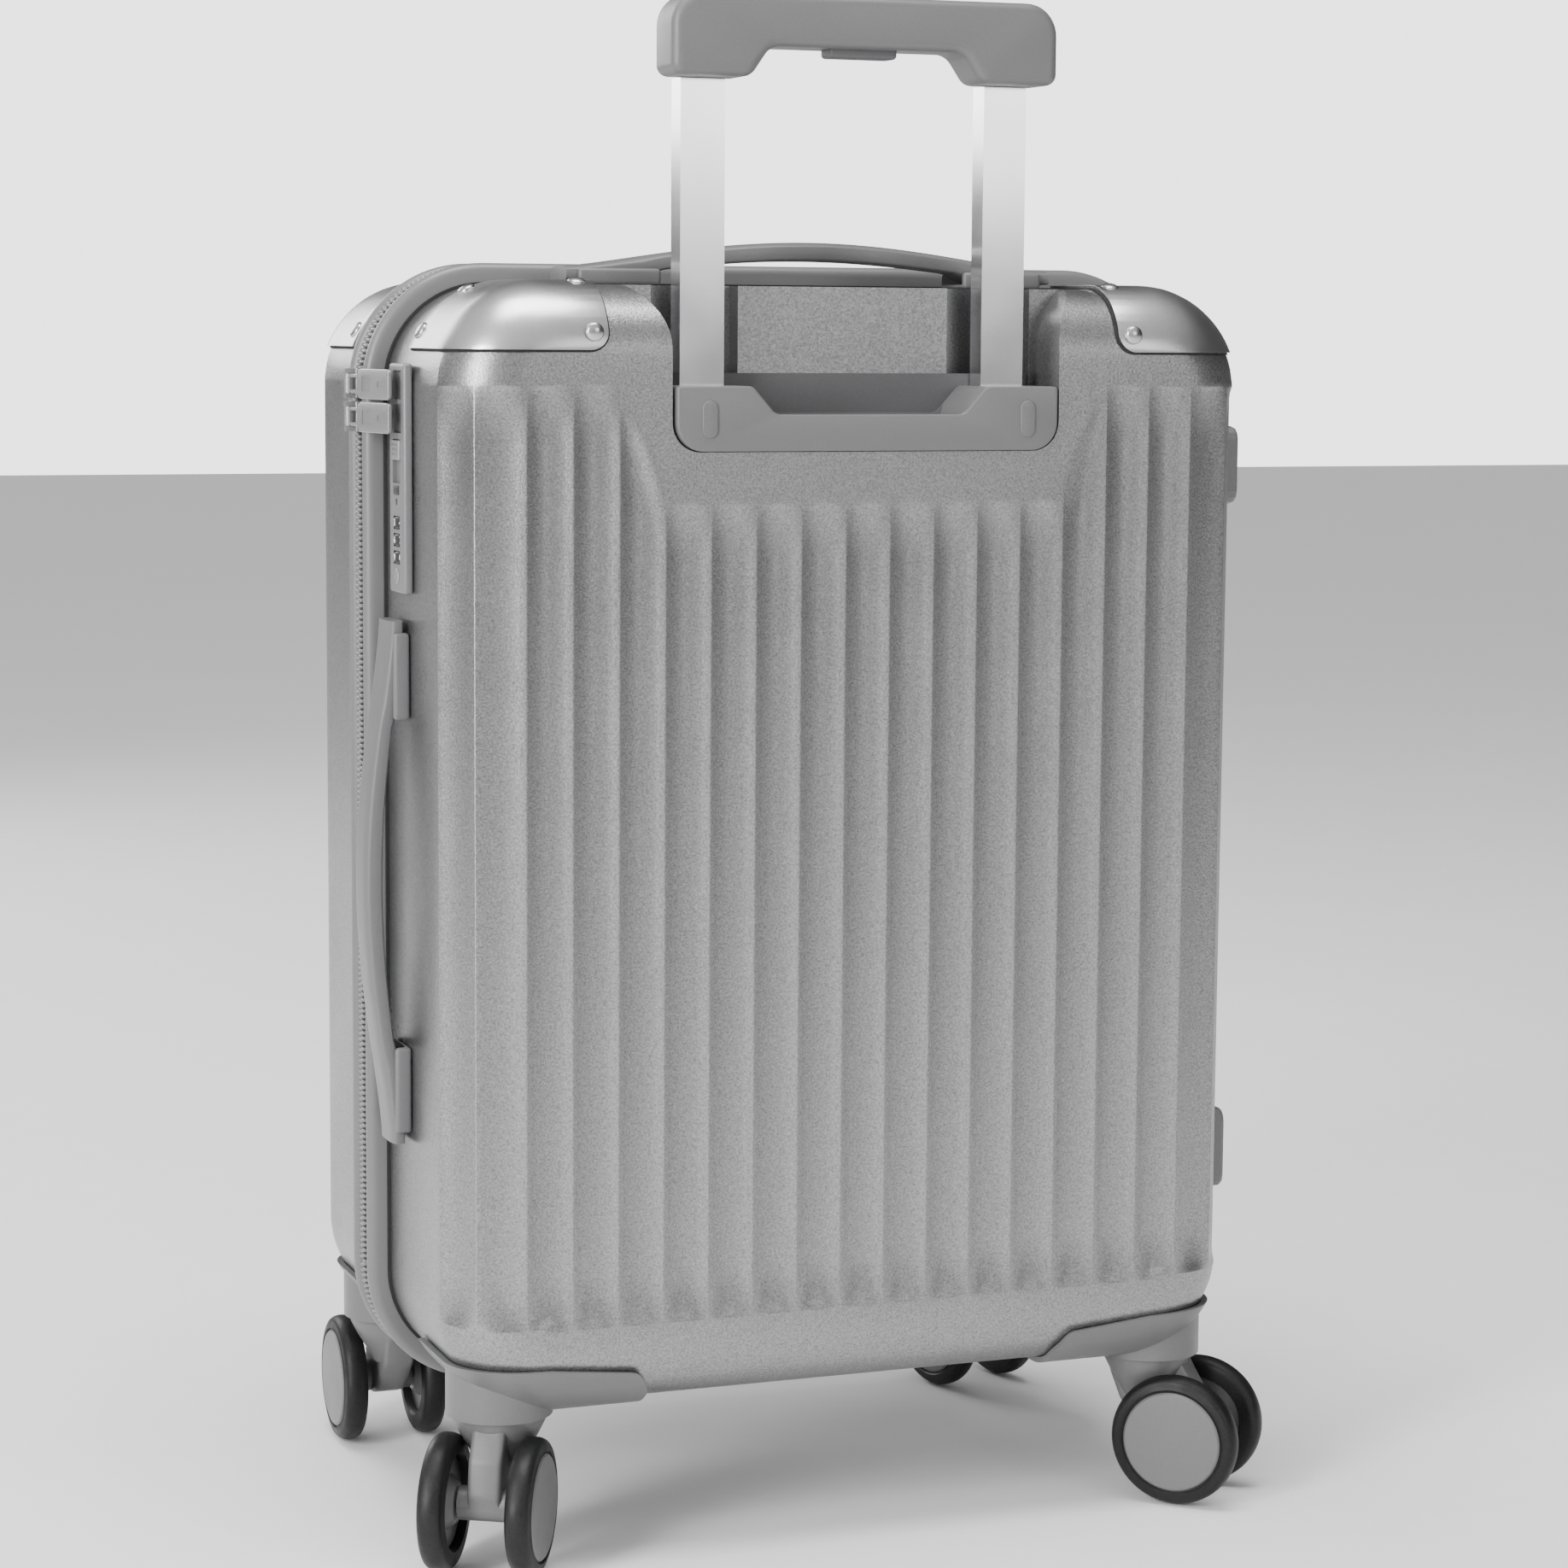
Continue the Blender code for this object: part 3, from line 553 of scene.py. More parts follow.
def swept(name, paint, section, smooth=30):
    """A closed section of (out, y) pairs carried round the case's outline."""
    bm = bmesh.new()
    rings = []
    for out, y in section:
        rings.append([bm.verts.new((x, y, z)) for x, z in case_outline(out)])
    count = len(rings[0])
    for i, ring in enumerate(rings):
        other = rings[(i + 1) % len(rings)]
        for k in range(count):
            bm.faces.new((ring[k], ring[(k + 1) % count], other[(k + 1) % count], other[k]))
    return new_object(name, bm, paint, smooth)


def along_outline(out, step):
    """(point, direction) pairs at an even pitch round the outline."""
    points = [Vector(p) for p in case_outline(out)]
    lengths = [(points[(i + 1) % len(points)] - p).length for i, p in enumerate(points)]
    total = sum(lengths)
    count = int(total / step)
    found = []
    i = 0
    start = 0.0
    for k in range(count):
        at = total * k / count
        while start + lengths[i] < at:
            start += lengths[i]
            i += 1
        direction = (points[(i + 1) % len(points)] - points[i]).normalized()
        found.append((points[i] + direction * (at - start), direction))
    return found


def zip_teeth(name, side):
    """One row of the zip's teeth. The rows of the two sides take alternate places."""
    bm = bmesh.new()
    for k, (point, direction) in enumerate(along_outline(TEETH_OUT, TEETH_PITCH)):
        if (k + (side > 0)) % 2:
            continue
        turn = Matrix.Rotation(-math.atan2(direction.y, direction.x), 4, "Y")
        place = Matrix.Translation((point.x, side * TEETH_Y, point.y)) @ turn
        bmesh.ops.create_cube(bm, size=1, matrix=place @ Matrix.Diagonal((*TOOTH, 1)))
    teeth = new_object(name, bm, TEETH, 0)
    bevel(teeth, 0.0005, 1, 40)
    soften(teeth, 60)
    return teeth


def rims():
    bead = []
    for k in range(13):
        angle = math.pi * k / 12
        bead.append((0.0052 + 0.0046 * math.sin(angle), 0.0118 + 0.0038 * math.cos(angle)))
    piping = [(-0.0048, 0.0170), (0.0008, 0.0170), (0.0008, 0.0158), *bead]
    piping += [(0.0052, 0.0078), (-0.0048, 0.0078)]
    # The seam: a thin near-black band where the piping meets the shell's edge, painted shadow.
    seam_shade = [(-0.0048, 0.0174), (0.0014, 0.0174), (0.0014, 0.0152), (-0.0048, 0.0152)]
    tape = [(-0.0040, 0.0079), (0.0054, 0.0079), (0.0062, 0.0068), (0.0060, 0.0030)]
    tape += [(0.0068, 0.0012), (0.0060, 0.0005), (-0.0040, 0.0005)]
    sections = (("piping", PIPING, piping, 30), ("seam_shade", SEAM_SHADOW, seam_shade, 50), ("zip_tape", TAPE, tape, 50))
    for word, body, side in (("back", "back_half", -1), ("front", "lid", 1)):
        for part, paint, section, smooth in sections:
            made = swept(f"{word}_{part}", paint, [(n, side * y) for n, y in section], smooth)
            finish_piece(made, body, "rim", *([f"{word}_rim"] if part == "piping" else []))
        finish_piece(zip_teeth(f"{word}_zip_teeth", side), body, "rim")


# ---------------------------------------------------------------- corners and casters


def rivet_at(name, at, normal, radius=0.0040, high=0.0018):
    profile = [(0, high)]
    for k in range(1, 9):
        angle = math.pi / 2 * k / 8
        profile.append((radius * math.sin(angle), high * math.cos(angle)))
    profile += [(radius, -0.0006), (0, -0.0006)]
    turn = Vector((0, 0, 1)).rotation_difference(Vector(normal)).to_matrix().to_4x4()
    return lathe(name, RIVET, profile, Matrix.Translation(at) @ turn, 28)


def corner_region(name, x, z, radius, end_y):
    """A cutter that keeps the top corner beyond x and above z, with its free corner rounded."""
    outline = rounded([(x, z), (0.230, z), (0.230, 0.600), (x, 0.600)], [radius, 0, 0, 0])
    return prism(name, None, outline, "Y", -0.150, end_y)


def corner_guard():
    x, z = GUARD_FROM
    guard = case_solid("guard", GUARD, 0.0021, -1, 0.020, fine=12)
    join(guard, corner_region("guard_region", x, z, 0.008, -0.0485), "INTERSECT")
    join(guard, case_solid("guard_inside", None, 0.0006, -1, 0.010, fine=12))
    baked(guard, 0)
    bevel(guard, 0.0006, 3, 50)
    return baked(guard, 35)


def guard_rivets():
    rivets = [
        rivet_at("rivet", (0.1245, -0.1239, 0.5345), (0, -1, 0)),
        rivet_at("rivet", (0.1245, -0.0985, 0.5555), (0, -0.27, 1)),
        rivet_at("rivet", (0.1809, -0.0560, 0.5345), (0.848, 0, 0.53)),
        rivet_at("rivet", (0.1609, -0.0560, 0.5523), (0.42, 0, 0.91)),
    ]
    return joined("guard_rivets", rivets, RIVET)


def guard_gap():
    """The dark line round a guard, painted shadow in its gap: a thin skin that reaches a little beyond it.
    """
    x, z = GUARD_FROM
    # The skin takes the near-black seam colour: painted shadow along the guard's edge.
    gap = case_solid("guard_gap", SEAM_SHADOW, 0.0007, -1, 0.020, fine=12)
    join(gap, corner_region("gap_region", x - 0.001, z - 0.001, 0.009, -0.0478), "INTERSECT")
    join(gap, case_solid("gap_inside", None, 0.0001, -1, 0.010, fine=12))
    return baked(gap, 35)


def caster_housing():
    housing = case_solid("housing", TRIM, 0.0030, -1, 0.020, fine=12)
    corners = [(0.097, 0.040), (0.230, 0.040), (0.230, 0.0915), (0.143, 0.0905)]
    corners += [(0.103, 0.0860), (0.097, 0.076)]
    outline = rounded(corners, [0, 0, 0, 0.030, 0.006, 0.006])
    join(housing, prism("housing_region", None, outline, "Y", -0.150, -0.052), "INTERSECT")
    boss = cylinder("housing_boss", None, (CASTER_X, -CASTER_Y, 0.0779), "Z", 0.0235, 0.0242, 64)
    join(housing, boss, "UNION")
    join(housing, case_solid("housing_inside", None, 0.0004, -1, 0.010, fine=12))
    baked(housing, 0)
    bevel(housing, 0.0008, 2, 50)
    return baked(housing, 35)


def corner_set():
    """The guard, its rivets and the caster housing of the corner at +X and -Y, mirrored to all four."""
    pieces = (
        ("guard", "guard", corner_guard(), "corner_guard"),
        ("rivets", "guard", guard_rivets(), None),
        ("guard_gap", "guard", guard_gap(), None),
        ("housing", "trim", caster_housing(), "caster_housing"),
    )
    for word, (sx, sy, _) in CASTERS.items():
        body = "lid" if sy > 0 else "back_half"
        for part, slot, first, node in pieces:
            nodes = [f"{node}_{word}"] if node else []
            finish_piece(mirrored(f"{part}_{word}", first, sx, -sy), body, slot, *nodes)
    for _, _, first, _ in pieces:
        bpy.data.objects.remove(first, do_unlink=True)


def tyre_profile():
    """(radius, height) pairs of the tyre: a crown with round shoulders, and a ring that holds the hub."""
    half = WHEEL_W / 2
    profile = [(0.0238, half - 0.0010), (0.0244, half - 0.0005)]
    for k in range(17):
        angle = math.pi / 2 * (1 - k / 8)
        out = math.copysign(abs(math.sin(angle)) ** 0.90, angle) * (half - 0.0010)
        profile.append((0.0255 + (WHEEL_R - 0.0255) * abs(math.cos(angle)) ** 0.75, out))
    profile += [(0.0215, -half + 0.0007), (0.0205, -half + 0.0024)]
    profile += [(0.0205, half - 0.002), (0.0238, half - 0.0016)]
    return profile + [profile[0]]


def hub_profile():
    """(radius, height) pairs of the hub cap and of the boss behind it."""
    half = WHEEL_W / 2
    top = half - 0.0001
    profile = [(0, top), (0.0200, top), (0.0222, top - 0.0002), (0.0230, top - 0.0009)]
    profile += [(0.0231, top - 0.0030), (0.0202, top - 0.0040), (0.0202, -0.0020), (0.0120, -0.0020)]
    profile += [(0.0085, -half + 0.0006), (0.0034, -half + 0.0006), (0.0034, 0.0), (0, 0.0)]
    return profile


def fork(word, swivel):
    outline = [(-0.015, 0.0655), (-0.0165, 0.056), (-0.011, 0.042), (0.006, 0.0255), (0.018, 0.0215)]
    outline += [(0.0265, 0.026), (0.029, 0.035), (0.026, 0.050), (0.017, 0.0655)]
    outline = rounded(outline, [0, 0.006, 0.01, 0.01, 0.006, 0.006, 0.008, 0.01, 0])
    web = prism(f"fork_{word}", TRIM, outline, "Y", -0.0075, 0.0075)
    bevel(web, 0.0022, 3, 60)
    disc = [(0, 0.0056), (0.0200, 0.0056), (0.0205, 0.0050), (0.0203, 0.0026)]
    disc += [(0.0170, -0.0040), (0.0130, -0.0105), (0.0098, -0.0170), (0, -0.0170)]
    join(web, lathe("fork_disc", None, disc, Matrix.Translation((0, 0, 0.0598)), 64, 0), "UNION")
    join(web, cylinder("fork_hub", None, (TRAIL, 0, 0.030), "Y", 0.0075, 0.0244, 48), "UNION")
    join(web, cylinder("fork_axle", None, (TRAIL, 0, 0.030), "Y", 0.0030, 0.0466, 32), "UNION")
    baked(web, 35)
    web.matrix_world = swivel
    finish_piece(web, f"fork_{word}", "trim", f"caster_fork_{word}")


def casters():
    for word, (sx, sy, heading) in CASTERS.items():
        swivel = Matrix.Translation((sx * CASTER_X, sy * CASTER_Y, 0)) @ Matrix.Rotation(heading, 4, "Z")
        fork(word, swivel)
        for side, face in ((-1, "a"), (1, "b")):
            at = Matrix.Translation((TRAIL, side * WHEEL_AT, WHEEL_R))
            place = swivel @ at @ Matrix.Rotation(-side * math.pi / 2, 4, "X")
            body = f"wheel_{word}_{face}"
            tyre = lathe(f"tyre_{word}_{face}", TYRE, tyre_profile(), place, 72, 35)
            finish_piece(tyre, body, "wheel", body)
            hub = lathe(f"hub_{word}_{face}", HUB, hub_profile(), place, 72, 35)
            finish_piece(hub, body, "trim")


# ---------------------------------------------------------------- trolley


def bezel():
    x, z = BEZEL_DIP
    outline = [(-BEZEL_X, BEZEL_LOW_Z), (BEZEL_X, BEZEL_LOW_Z), (BEZEL_X, BEZEL_TOP_Z)]
    outline += [(0.054, BEZEL_TOP_Z), (x, z), (-x, z), (-0.054, BEZEL_TOP_Z), (-BEZEL_X, BEZEL_TOP_Z)]
    radii = [0.012, 0.012, 0.0018, 0.004, 0.006, 0.006, 0.004, 0.0018]
    plate = prism("bezel_plate", TRIM, rounded(outline, radii), "Y", -0.1245, -0.0908)
    bevel(plate, 0.0010, 3, 60)
    baked(plate, 0)
    for end in (-1, 1):
        wide, deep = (half + 0.0003 for half in MID_TUBE)
        at = end * TUBE_X
        low = (at - wide, TUBE_Y - deep, 0.4)
        join(plate, box("bezel_hole", None, low, (at + wide, TUBE_Y + deep, 0.6)))
    scoop = [(-x, 0.4905), (x, 0.4905), (0.0535, 0.530), (-0.0535, 0.530)]
    scoop = rounded(scoop, [0.005, 0.005, 0, 0])
    join(plate, prism("bezel_scoop", None, scoop, "Y", -0.1215, -0.0925))
    finish_piece(baked(plate, 35), "back_half", "trim", "trolley_bezel")
    # A thin sheet of the darker trim over the back of the well above the bezel: painted shade.
    wall = [(-0.0875, 0.4860), (0.0875, 0.4860), (0.0875, 0.5172), (-0.0875, 0.5172)]
    wall = rounded(wall, [0.011, 0.011, 0.001, 0.001])
    wall = prism("bezel_back_wall", TRIM_SHADED, wall, "Y", -0.0907, -0.0906)
    finish_piece(wall, "back_half", "trim")
    for end, word in ((-1, "left"), (1, "right")):
        lo, hi = end * PAD_X - 0.0035, end * PAD_X + 0.0035
        pill = rounded([(lo, 0.4900), (hi, 0.4900), (hi, 0.5060), (lo, 0.5060)], [0.0034] * 4)
        pill = bevel(prism(f"bezel_pad_{word}", TRIM, pill, "Y", -0.1252, -0.1240), 0.0005, 3, 60)
        finish_piece(baked(pill), "back_half", "trim")


def grip():
    low, under, top = GRIP_Z
    outline = [(-GRIP_X, low), (-0.0530, low), (-0.0440, under), (0.0440, under)]
    outline += [(0.0530, low), (GRIP_X, low), (GRIP_X, top), (-GRIP_X, top)]
    radii = [0.0048, 0.0068, 0.009, 0.009, 0.0068, 0.0048, 0.014, 0.014]
    bar = prism("grip_bar", TRIM, rounded(outline, radii, 10), "Y", *GRIP_Y)
    bevel(bar, 0.0042, 5, 55)
    baked(bar, 0)
    join(bar, box("button_pocket", None, (-0.0158, -0.1123, 0.64), (0.0158, -0.0997, 0.6625)))
    finish_piece(baked(bar, 35), "handle_stage", "trim", "trolley_grip")
    # The button takes the darker trim: painted shade of its pocket.
    button = box("button_cap", TRIM_SHADED, (-0.0155, -0.112, 0.6513), (0.0155, -0.100, 0.6585))
    bevel(button, 0.0016, 4)
    finish_piece(baked(button), "release_button", "dial", "release_button")


# ---------------------------------------------------------------- carry handles


def strap_lift(t):
    """How far the strap arches out at t, from -1 to 1 along it."""
    return STRAP_RISE * max(0.0, 1 - t * t) ** 1.5


def strap_piece(name, matrix, body, node):
    """A crowned strap, thinner at its middle, with its two legs."""
    section = rounded([(-1, -1), (1, -1), (1, 1), (-1, 1)], [0.34, 0.34, 0.62, 0.62], 6)
    bm = bmesh.new()
    rings = []
    stations = 61
    for i in range(stations):
        t = -1 + 2 * i / (stations - 1)
        top = STRAP_TOP + strap_lift(t)
        raised = STRAP_THIN if abs(t) < 0.62 else STRAP_THIN * max(0.0, (0.70 - abs(t)) / 0.08)
        low = min(0.0024 + strap_lift(t) * raised, top - 0.0045)
        wide = 0.0115 * (0.86 + 0.14 * min(1.0, abs(t) / 0.8) ** 2)
        middle = (top + low) / 2
        deep = (top - low) / 2
        rings.append([bm.verts.new((t * STRAP_HALF, a * wide, middle + b * deep)) for a, b in section])
    for first, second in zip(rings, rings[1:]):
        for k in range(len(section)):
            other = (k + 1) % len(section)
            bm.faces.new((first[k], first[other], second[other], second[k]))
    bm.faces.new(rings[0])
    bm.faces.new(rings[-1])
    strap = new_object(name, bm, TRIM, 0)
    for end in (-1, 1):
        lo = (end * LEG_AT - 0.005, -0.006, -0.011)
        join(strap, box("leg_tool", None, lo, (end * LEG_AT + 0.005, 0.006, 0.005)), "UNION")
    baked(strap, 35)
    strap.matrix_world = matrix
    finish_piece(strap, body, "trim", node)


def carry_handles():
    for name, matrix in handle_frames().items():
        strap_piece(f"{name}_strap", matrix, f"{name}_handle", f"{name}_handle_strap")
        for end, word in ((-1, "a"), (1, "b")):
            lo = min(end * 0.072, end * 0.110)
            block = box("block", TRIM, (lo, -0.014, 0.0003), (lo + 0.038, 0.014, 0.0076))
            bevel(block, 0.0018, 4, 60)
            join(block, box("channel_tool", None, (-1, -0.0118, 0.0021), (1, 0.0118, 1)))
            at = end * LEG_AT
            hole = box("hole_tool", None, (at - 0.0053, -0.0063, -1), (at + 0.0053, 0.0063, 1))
            join(block, hole)
            baked(block, 35)
            block.name = f"{name}_bracket_{word}"
            block.matrix_world = matrix
            finish_piece(block, "back_half", "trim", f"{name}_handle_bracket_{word}")


# ---------------------------------------------------------------- lock and zip pulls


def digits(number, z):
    """Ten plain digits round a dial."""
    found = []
    for k in range(10):
        text = bpy.data.curves.new("digit", "FONT")
        text.body = str(k)
        text.size = 0.0042
        text.extrude = 0.00012
        text.align_x = "CENTER"
        text.align_y = "CENTER"
        text.resolution_u = 3
        obj = bpy.data.objects.new("digit", text)
        bpy.context.scene.collection.objects.link(obj)
        bpy.context.view_layer.update()
        graph = bpy.context.evaluated_depsgraph_get()
        mesh = bpy.data.meshes.new_from_object(obj.evaluated_get(graph))
        bpy.data.objects.remove(obj, do_unlink=True)
        flat = bpy.data.objects.new("digit", mesh)
        bpy.context.scene.collection.objects.link(flat)
        face = Matrix(((0, 0, -1, 0), (-1, 0, 0, 0), (0, 1, 0, 0), (0, 0, 0, 1)))
        turn = Matrix.Rotation(2 * math.pi * (k - 3 * number) / 10, 4, "Z")
        out = Matrix.Translation((-0.00800, 0, 0))
        flat.matrix_world = Matrix.Translation((DIAL_X, LOCK_Y, z)) @ turn @ out @ face
        found.append(flat)
    return joined(f"dial_{number}_digits", found, DIGIT)


def lock_body():
    front = -HALF_W - LOCK_PROUD
    low, high = (front, LOCK_Y - 0.012, LOCK_Z[0]), (-HALF_W - 0.0003, LOCK_Y + 0.012, LOCK_Z[1])
    body = box("lock_case", LOCK, low, high)
    bevel(body, 0.0014, 4, 40)
    low, high = (-HALF_W - 0.002, LOCK_Y - 0.009, 0.427), (-0.1745, LOCK_Y + 0.009, 0.489)
    join(body, box("lock_inside", None, low, high), "UNION")
    for z in DIALS_Z:
        join(body, cylinder("dial_pocket", None, (DIAL_X, LOCK_Y, z), "Z", 0.0086, 0.0057, 48))
    join(body, cylinder("shaft_hole", None, (DIAL_X, LOCK_Y, DIALS_Z[1]), "Z", 0.0021, 0.028, 24))
    low, high = (-0.200, LOCK_Y - 0.0063, 0.4690), (-0.1887, LOCK_Y + 0.0063, 0.4880)
    join(body, box("slider_recess", None, low, high))
    for z in PULL_Z:
        low, high = (-0.200, LOCK_Y - 0.0085, z - 0.0062), (-0.1892, LOCK_Y + 0.0050, z + 0.0062)
        join(body, box("pull_slot", None, low, high))
    join(body, cylinder("keyhole", None, (-0.190, LOCK_Y, 0.4610), "X", 0.0016, 0.004, 24))
    finish_piece(baked(body, 35), "back_half", "lock", "lock_housing")
    mark = [(0, 0.0006), (0.0030, 0.0006), (0.0034, 0.0002), (0.0034, -0.001), (0, -0.001)]
    place = Matrix.Translation((front, LOCK_Y, 0.4288)) @ Matrix.Rotation(-math.pi / 2, 4, "Y")
    finish_piece(lathe("lock_round_mark", PULL, mark, place, 32), "back_half", "lock")
    low, high = (-HALF_W - 0.0049, LOCK_Y - 0.0042, 0.4640), (-HALF_W - 0.0040, LOCK_Y + 0.0042, 0.4680)
    window = bevel(box("lock_window", BLACK, low, high), 0.0003, 2)
    finish_piece(baked(window), "back_half", "lock")


def dials():
    profile = [(0.0021, 0.0025), (0.0072, 0.0025), (0.0079, 0.0019), (0.0079, -0.0019)]
    profile += [(0.0072, -0.0025), (0.0021, -0.0025), (0.0021, 0.0025)]
    for number, z in enumerate(DIALS_Z, 1):
        place = Matrix.Translation((DIAL_X, LOCK_Y, z))
        dial = lathe(f"dial_{number}_ring", BLACK, profile, place, 60, 40)
        finish_piece(dial, f"dial_{number}", "dial", f"lock_dial_{number}")
        finish_piece(digits(number, z), f"dial_{number}", "dial")


def slide_button():
    low, high = (-0.1913, LOCK_Y - 0.006, 0.4790), (-0.1890, LOCK_Y + 0.006, 0.4875)
    knob = box("slide_button", PULL, low, high)
    bevel(knob, 0.0006, 3)
    baked(knob, 0)
    for k in range(3):
        z = 0.4812 + 0.002 * k
        low, high = (-0.195, LOCK_Y - 0.0048, z), (-0.1909, LOCK_Y + 0.0048, z + 0.0008)
        join(knob, box("knob_groove", None, low, high))
    finish_piece(baked(knob, 35), "lock_slider", "lock", "lock_slider")


def zip_runner(word, z, rides):
    """A zip slider with two lugs and the pin that its tab swings on."""
    x, y = PULL_AXIS
    low, high = (-0.1981, -0.0100, z - 0.0066), (-0.1963, 0.0052, z + 0.0066)
    slider = box("zip_runner", PULL, low, high)
    bevel(slider, 0.0007, 3)
    for end in (-1, 1):
        middle = z + end * 0.0055
        low, high = (x - 0.0018, y - 0.0018, middle - 0.0010), (-0.1975, y + 0.0018, middle + 0.0010)
        join(slider, box("lug_tool", None, low, high), "UNION")
    join(slider, cylinder("pin_tool", None, (x, y, z), "Z", 0.0009, 0.0124, 24), "UNION")
    slider.name = f"zip_runner_{word}"
    finish_piece(baked(slider, 35), rides, "pull", f"zip_slider_{word}")


def pull_loop(word, place, pull):
    """The eye round the pin, and the open loop that joins it to the blade."""
    loop = box("loop", PULL, (0.0005, -0.00075, -0.0042), (0.0155, 0.00075, 0.0042))
    bevel(loop, 0.0006, 3)
    join(loop, box("loop_hole", None, (0.0030, -1, -0.0026), (0.0120, 1, 0.0026)))
    join(loop, cylinder("eye_tool", None, (0, 0, 0), "Z", 0.0021, 0.0084, 32), "UNION")
    join(loop, cylinder("eye_bore", None, (0, 0, 0), "Z", 0.0012, 0.03, 24))
    baked(loop, 35)
    loop.name = f"pull_loop_{word}"
    loop.matrix_world = place
    finish_piece(loop, pull, "pull")


def pull_blade(word, place, pull, reach):
    """The flat of the tab, with a sunk panel and a pin mark, reaching into the lock."""
    outline = [(0.012, -0.0066), (reach, -0.0066), (reach, 0.0066), (0.012, 0.0066)]
    outline = rounded(outline, [0.004, 0.002, 0.002, 0.004], 6)
    blade = prism("blade", PULL, outline, "Y", -0.0010, 0.0010)
    bevel(blade, 0.0005, 3, 60)
    baked(blade, 0)
    join(blade, box("inset", None, (0.018, -0.002, -0.0030), (0.028, -0.0006, 0.0030)))
    join(blade, cylinder("dot", None, (0.037, -0.0012, 0), "Y", 0.0013, 0.0012, 24))
    baked(blade, 35)
    blade.name = f"pull_blade_{word}"
    blade.matrix_world = place
    finish_piece(blade, pull, "pull", f"pull_tab_{word}")


def zip_pulls():
    along = Vector(PULL_END) - Vector(PULL_AXIS)
    heading = math.atan2(along.y, along.x)
    riders = (("upper", "back_half", "pull_upper"), ("lower", "zip_lower", "pull_lower"))
    for z, (word, rides, pull) in zip(PULL_Z, riders):
        zip_runner(word, z, rides)
        place = Matrix.Translation((*PULL_AXIS, z)) @ Matrix.Rotation(heading, 4, "Z")
        pull_loop(word, place, pull)
        pull_blade(word, place, pull, along.length)


# ---------------------------------------------------------------- kept CAD nodes


def kept_nodes():
    """The tubes, linings, feet and dial shaft keep their CAD solids, with materials and softer edges."""
    paints = {"tube": TUBE, "lining": LINING, "foot": TRIM, "shaft": RIVET}
    for name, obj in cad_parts.items():
        paint = next((p for word, p in paints.items() if word in name), None)
        if paint is None:
            continue
        obj.data.materials.clear()
        obj.data.materials.append(paint)
        if "tube" in name:
            bevel(obj, 0.0024 if "inner" in name else 0.0010, 3, 50)
        elif "foot" in name:
            bevel(obj, 0.0008, 2, 30)
        soften(obj, 35)


# ---------------------------------------------------------------- studio

CAMERA_AT = (-0.617808, -1.658224, 0.5368)
CAMERA_TURN = (20.676, 6.796, 0.403)
CAMERA_LENS = 87.93
BACKDROP_STRENGTH = 3.0
LIT_FROM = (-0.48, -0.34, 0.80)


def camera():
    azimuth, pitch, roll = (math.radians(a) for a in CAMERA_TURN)
    at = Vector(CAMERA_AT)
    level = math.cos(pitch)
    forward = Vector((math.sin(azimuth) * level, math.cos(azimuth) * level, -math.sin(pitch)))
    side = Vector((math.cos(azimuth), -math.sin(azimuth), 0))
    up = side.cross(forward)
    right = side * math.cos(roll) + up * math.sin(roll)
    top = up * math.cos(roll) - side * math.sin(roll)
    data = bpy.data.cameras.new("camera")
    data.lens = CAMERA_LENS
    data.sensor_width = 36.0
    data.clip_end = 50
    obj = bpy.data.objects.new("camera", data)
    bpy.context.scene.collection.objects.link(obj)
    matrix = Matrix((right, top, -forward)).transposed().to_4x4()
    matrix.translation = at
    obj.matrix_world = matrix
    bpy.context.scene.camera = obj


def area(name, at, look, size, power):
    data = bpy.data.lights.new(name, "AREA")
    data.shape = "RECTANGLE"
    data.size, data.size_y = size
    data.energy = power
    obj = bpy.data.objects.new(name, data)
    obj.location = at
    obj.rotation_euler = (Vector(look) - Vector(at)).to_track_quat("-Z", "Y").to_euler()
    bpy.context.scene.collection.objects.link(obj)


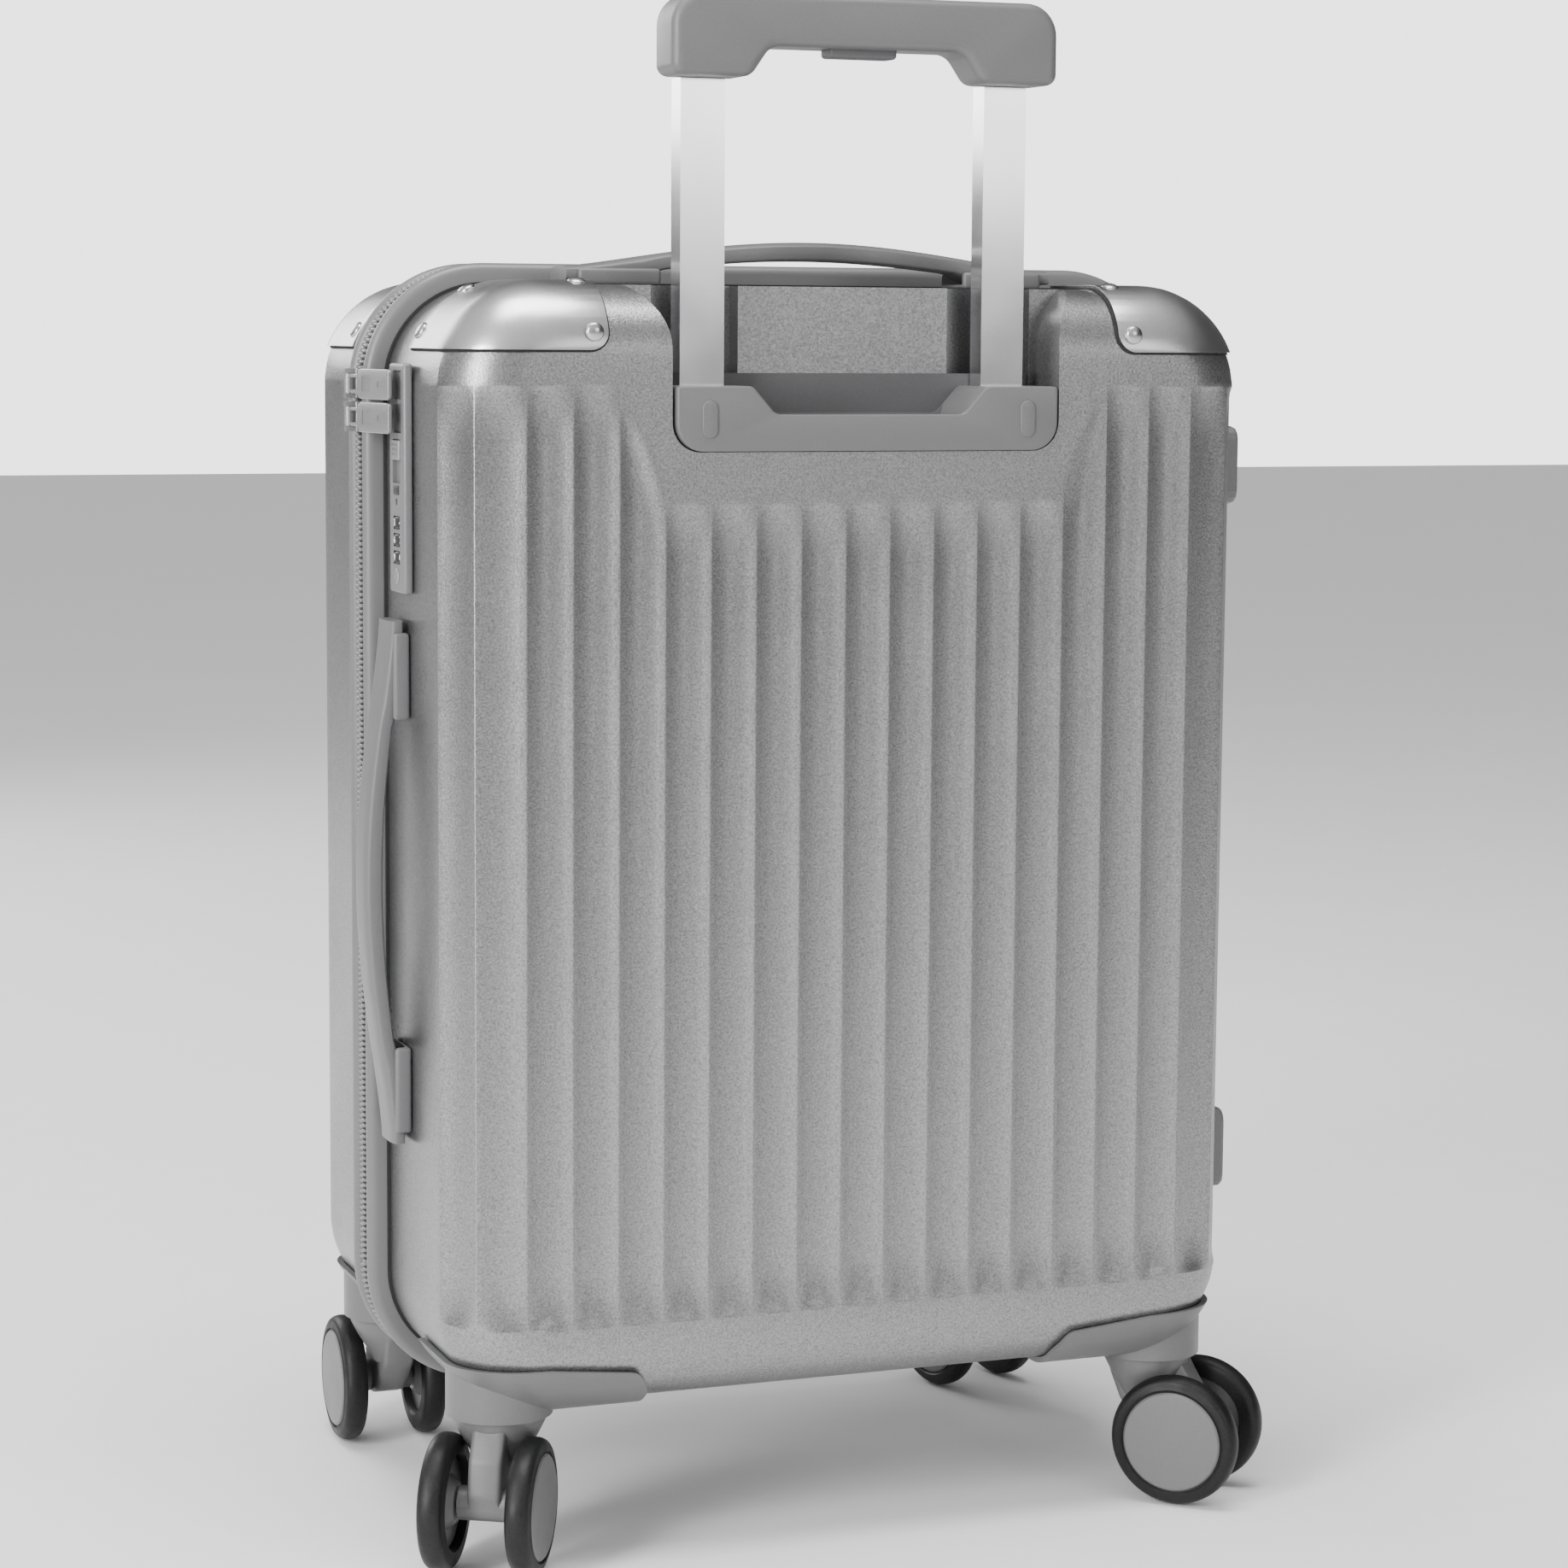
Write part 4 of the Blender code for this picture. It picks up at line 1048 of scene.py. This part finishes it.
def sky(tree):
    """A white backdrop, and a dimmer studio round it that is brighter to the left and above."""
    nodes = tree.nodes
    links = tree.links
    backdrop = nodes["Background"]
    backdrop.inputs["Color"].default_value = (1, 1, 1, 1)
    backdrop.inputs["Strength"].default_value = BACKDROP_STRENGTH
    room = nodes.new("ShaderNodeBackground")
    room.inputs["Strength"].default_value = 1.0
    place = nodes.new("ShaderNodeTexCoord")
    lean = nodes.new("ShaderNodeVectorMath")
    lean.operation = "DOT_PRODUCT"
    lean.inputs[1].default_value = LIT_FROM
    links.new(place.outputs["Generated"], lean.inputs[0])
    ramp = nodes.new("ShaderNodeValToRGB")
    ramp.color_ramp.interpolation = "EASE"
    ramp.color_ramp.elements[0].position = 0.0
    ramp.color_ramp.elements[0].color = (0.10, 0.10, 0.10, 1)
    ramp.color_ramp.elements[1].position = 0.80
    ramp.color_ramp.elements[1].color = (1.0, 1.0, 1.0, 1)
    links.new(lean.outputs["Value"], ramp.inputs["Fac"])
    links.new(ramp.outputs["Color"], room.inputs["Color"])
    seen = nodes.new("ShaderNodeLightPath")
    mix = nodes.new("ShaderNodeMixShader")
    links.new(seen.outputs["Is Camera Ray"], mix.inputs["Fac"])
    links.new(room.outputs["Background"], mix.inputs[1])
    links.new(backdrop.outputs["Background"], mix.inputs[2])
    links.new(mix.outputs["Shader"], nodes["World Output"].inputs["Surface"])


def studio():
    bm = bmesh.new()
    bmesh.ops.create_grid(bm, x_segments=1, y_segments=1, size=12)
    floor = new_object("floor", bm, None, 0)
    paint = material("floor_white", (0.92, 0.92, 0.92), 0.75, 0.0, 0.01, 0.0, 40.0, 0.05, 4.0)
    floor.data.materials.append(paint)
    floor.location.z = -0.0006
    world = bpy.data.worlds.new("world")
    world.use_nodes = True
    bpy.context.scene.world = world
    sky(world.node_tree)
    area("key", (-2.3, -1.4, 1.2), (0, 0, 0.3), (0.6, 1.8), 85)
    area("top", (-0.1, -0.3, 2.4), (0, 0, 0.3), (1.4, 0.9), 50)
    area("front", (1.0, -2.6, 1.1), (0, 0, 0.3), (0.9, 0.9), 8)
    area("back", (-0.9, 2.3, 1.3), (0, 0, 0.3), (1.4, 1.2), 30)


shells()
rims()
corner_set()
casters()
bezel()
grip()
carry_handles()
lock_body()
dials()
slide_button()
zip_pulls()
kept_nodes()
camera()
studio()
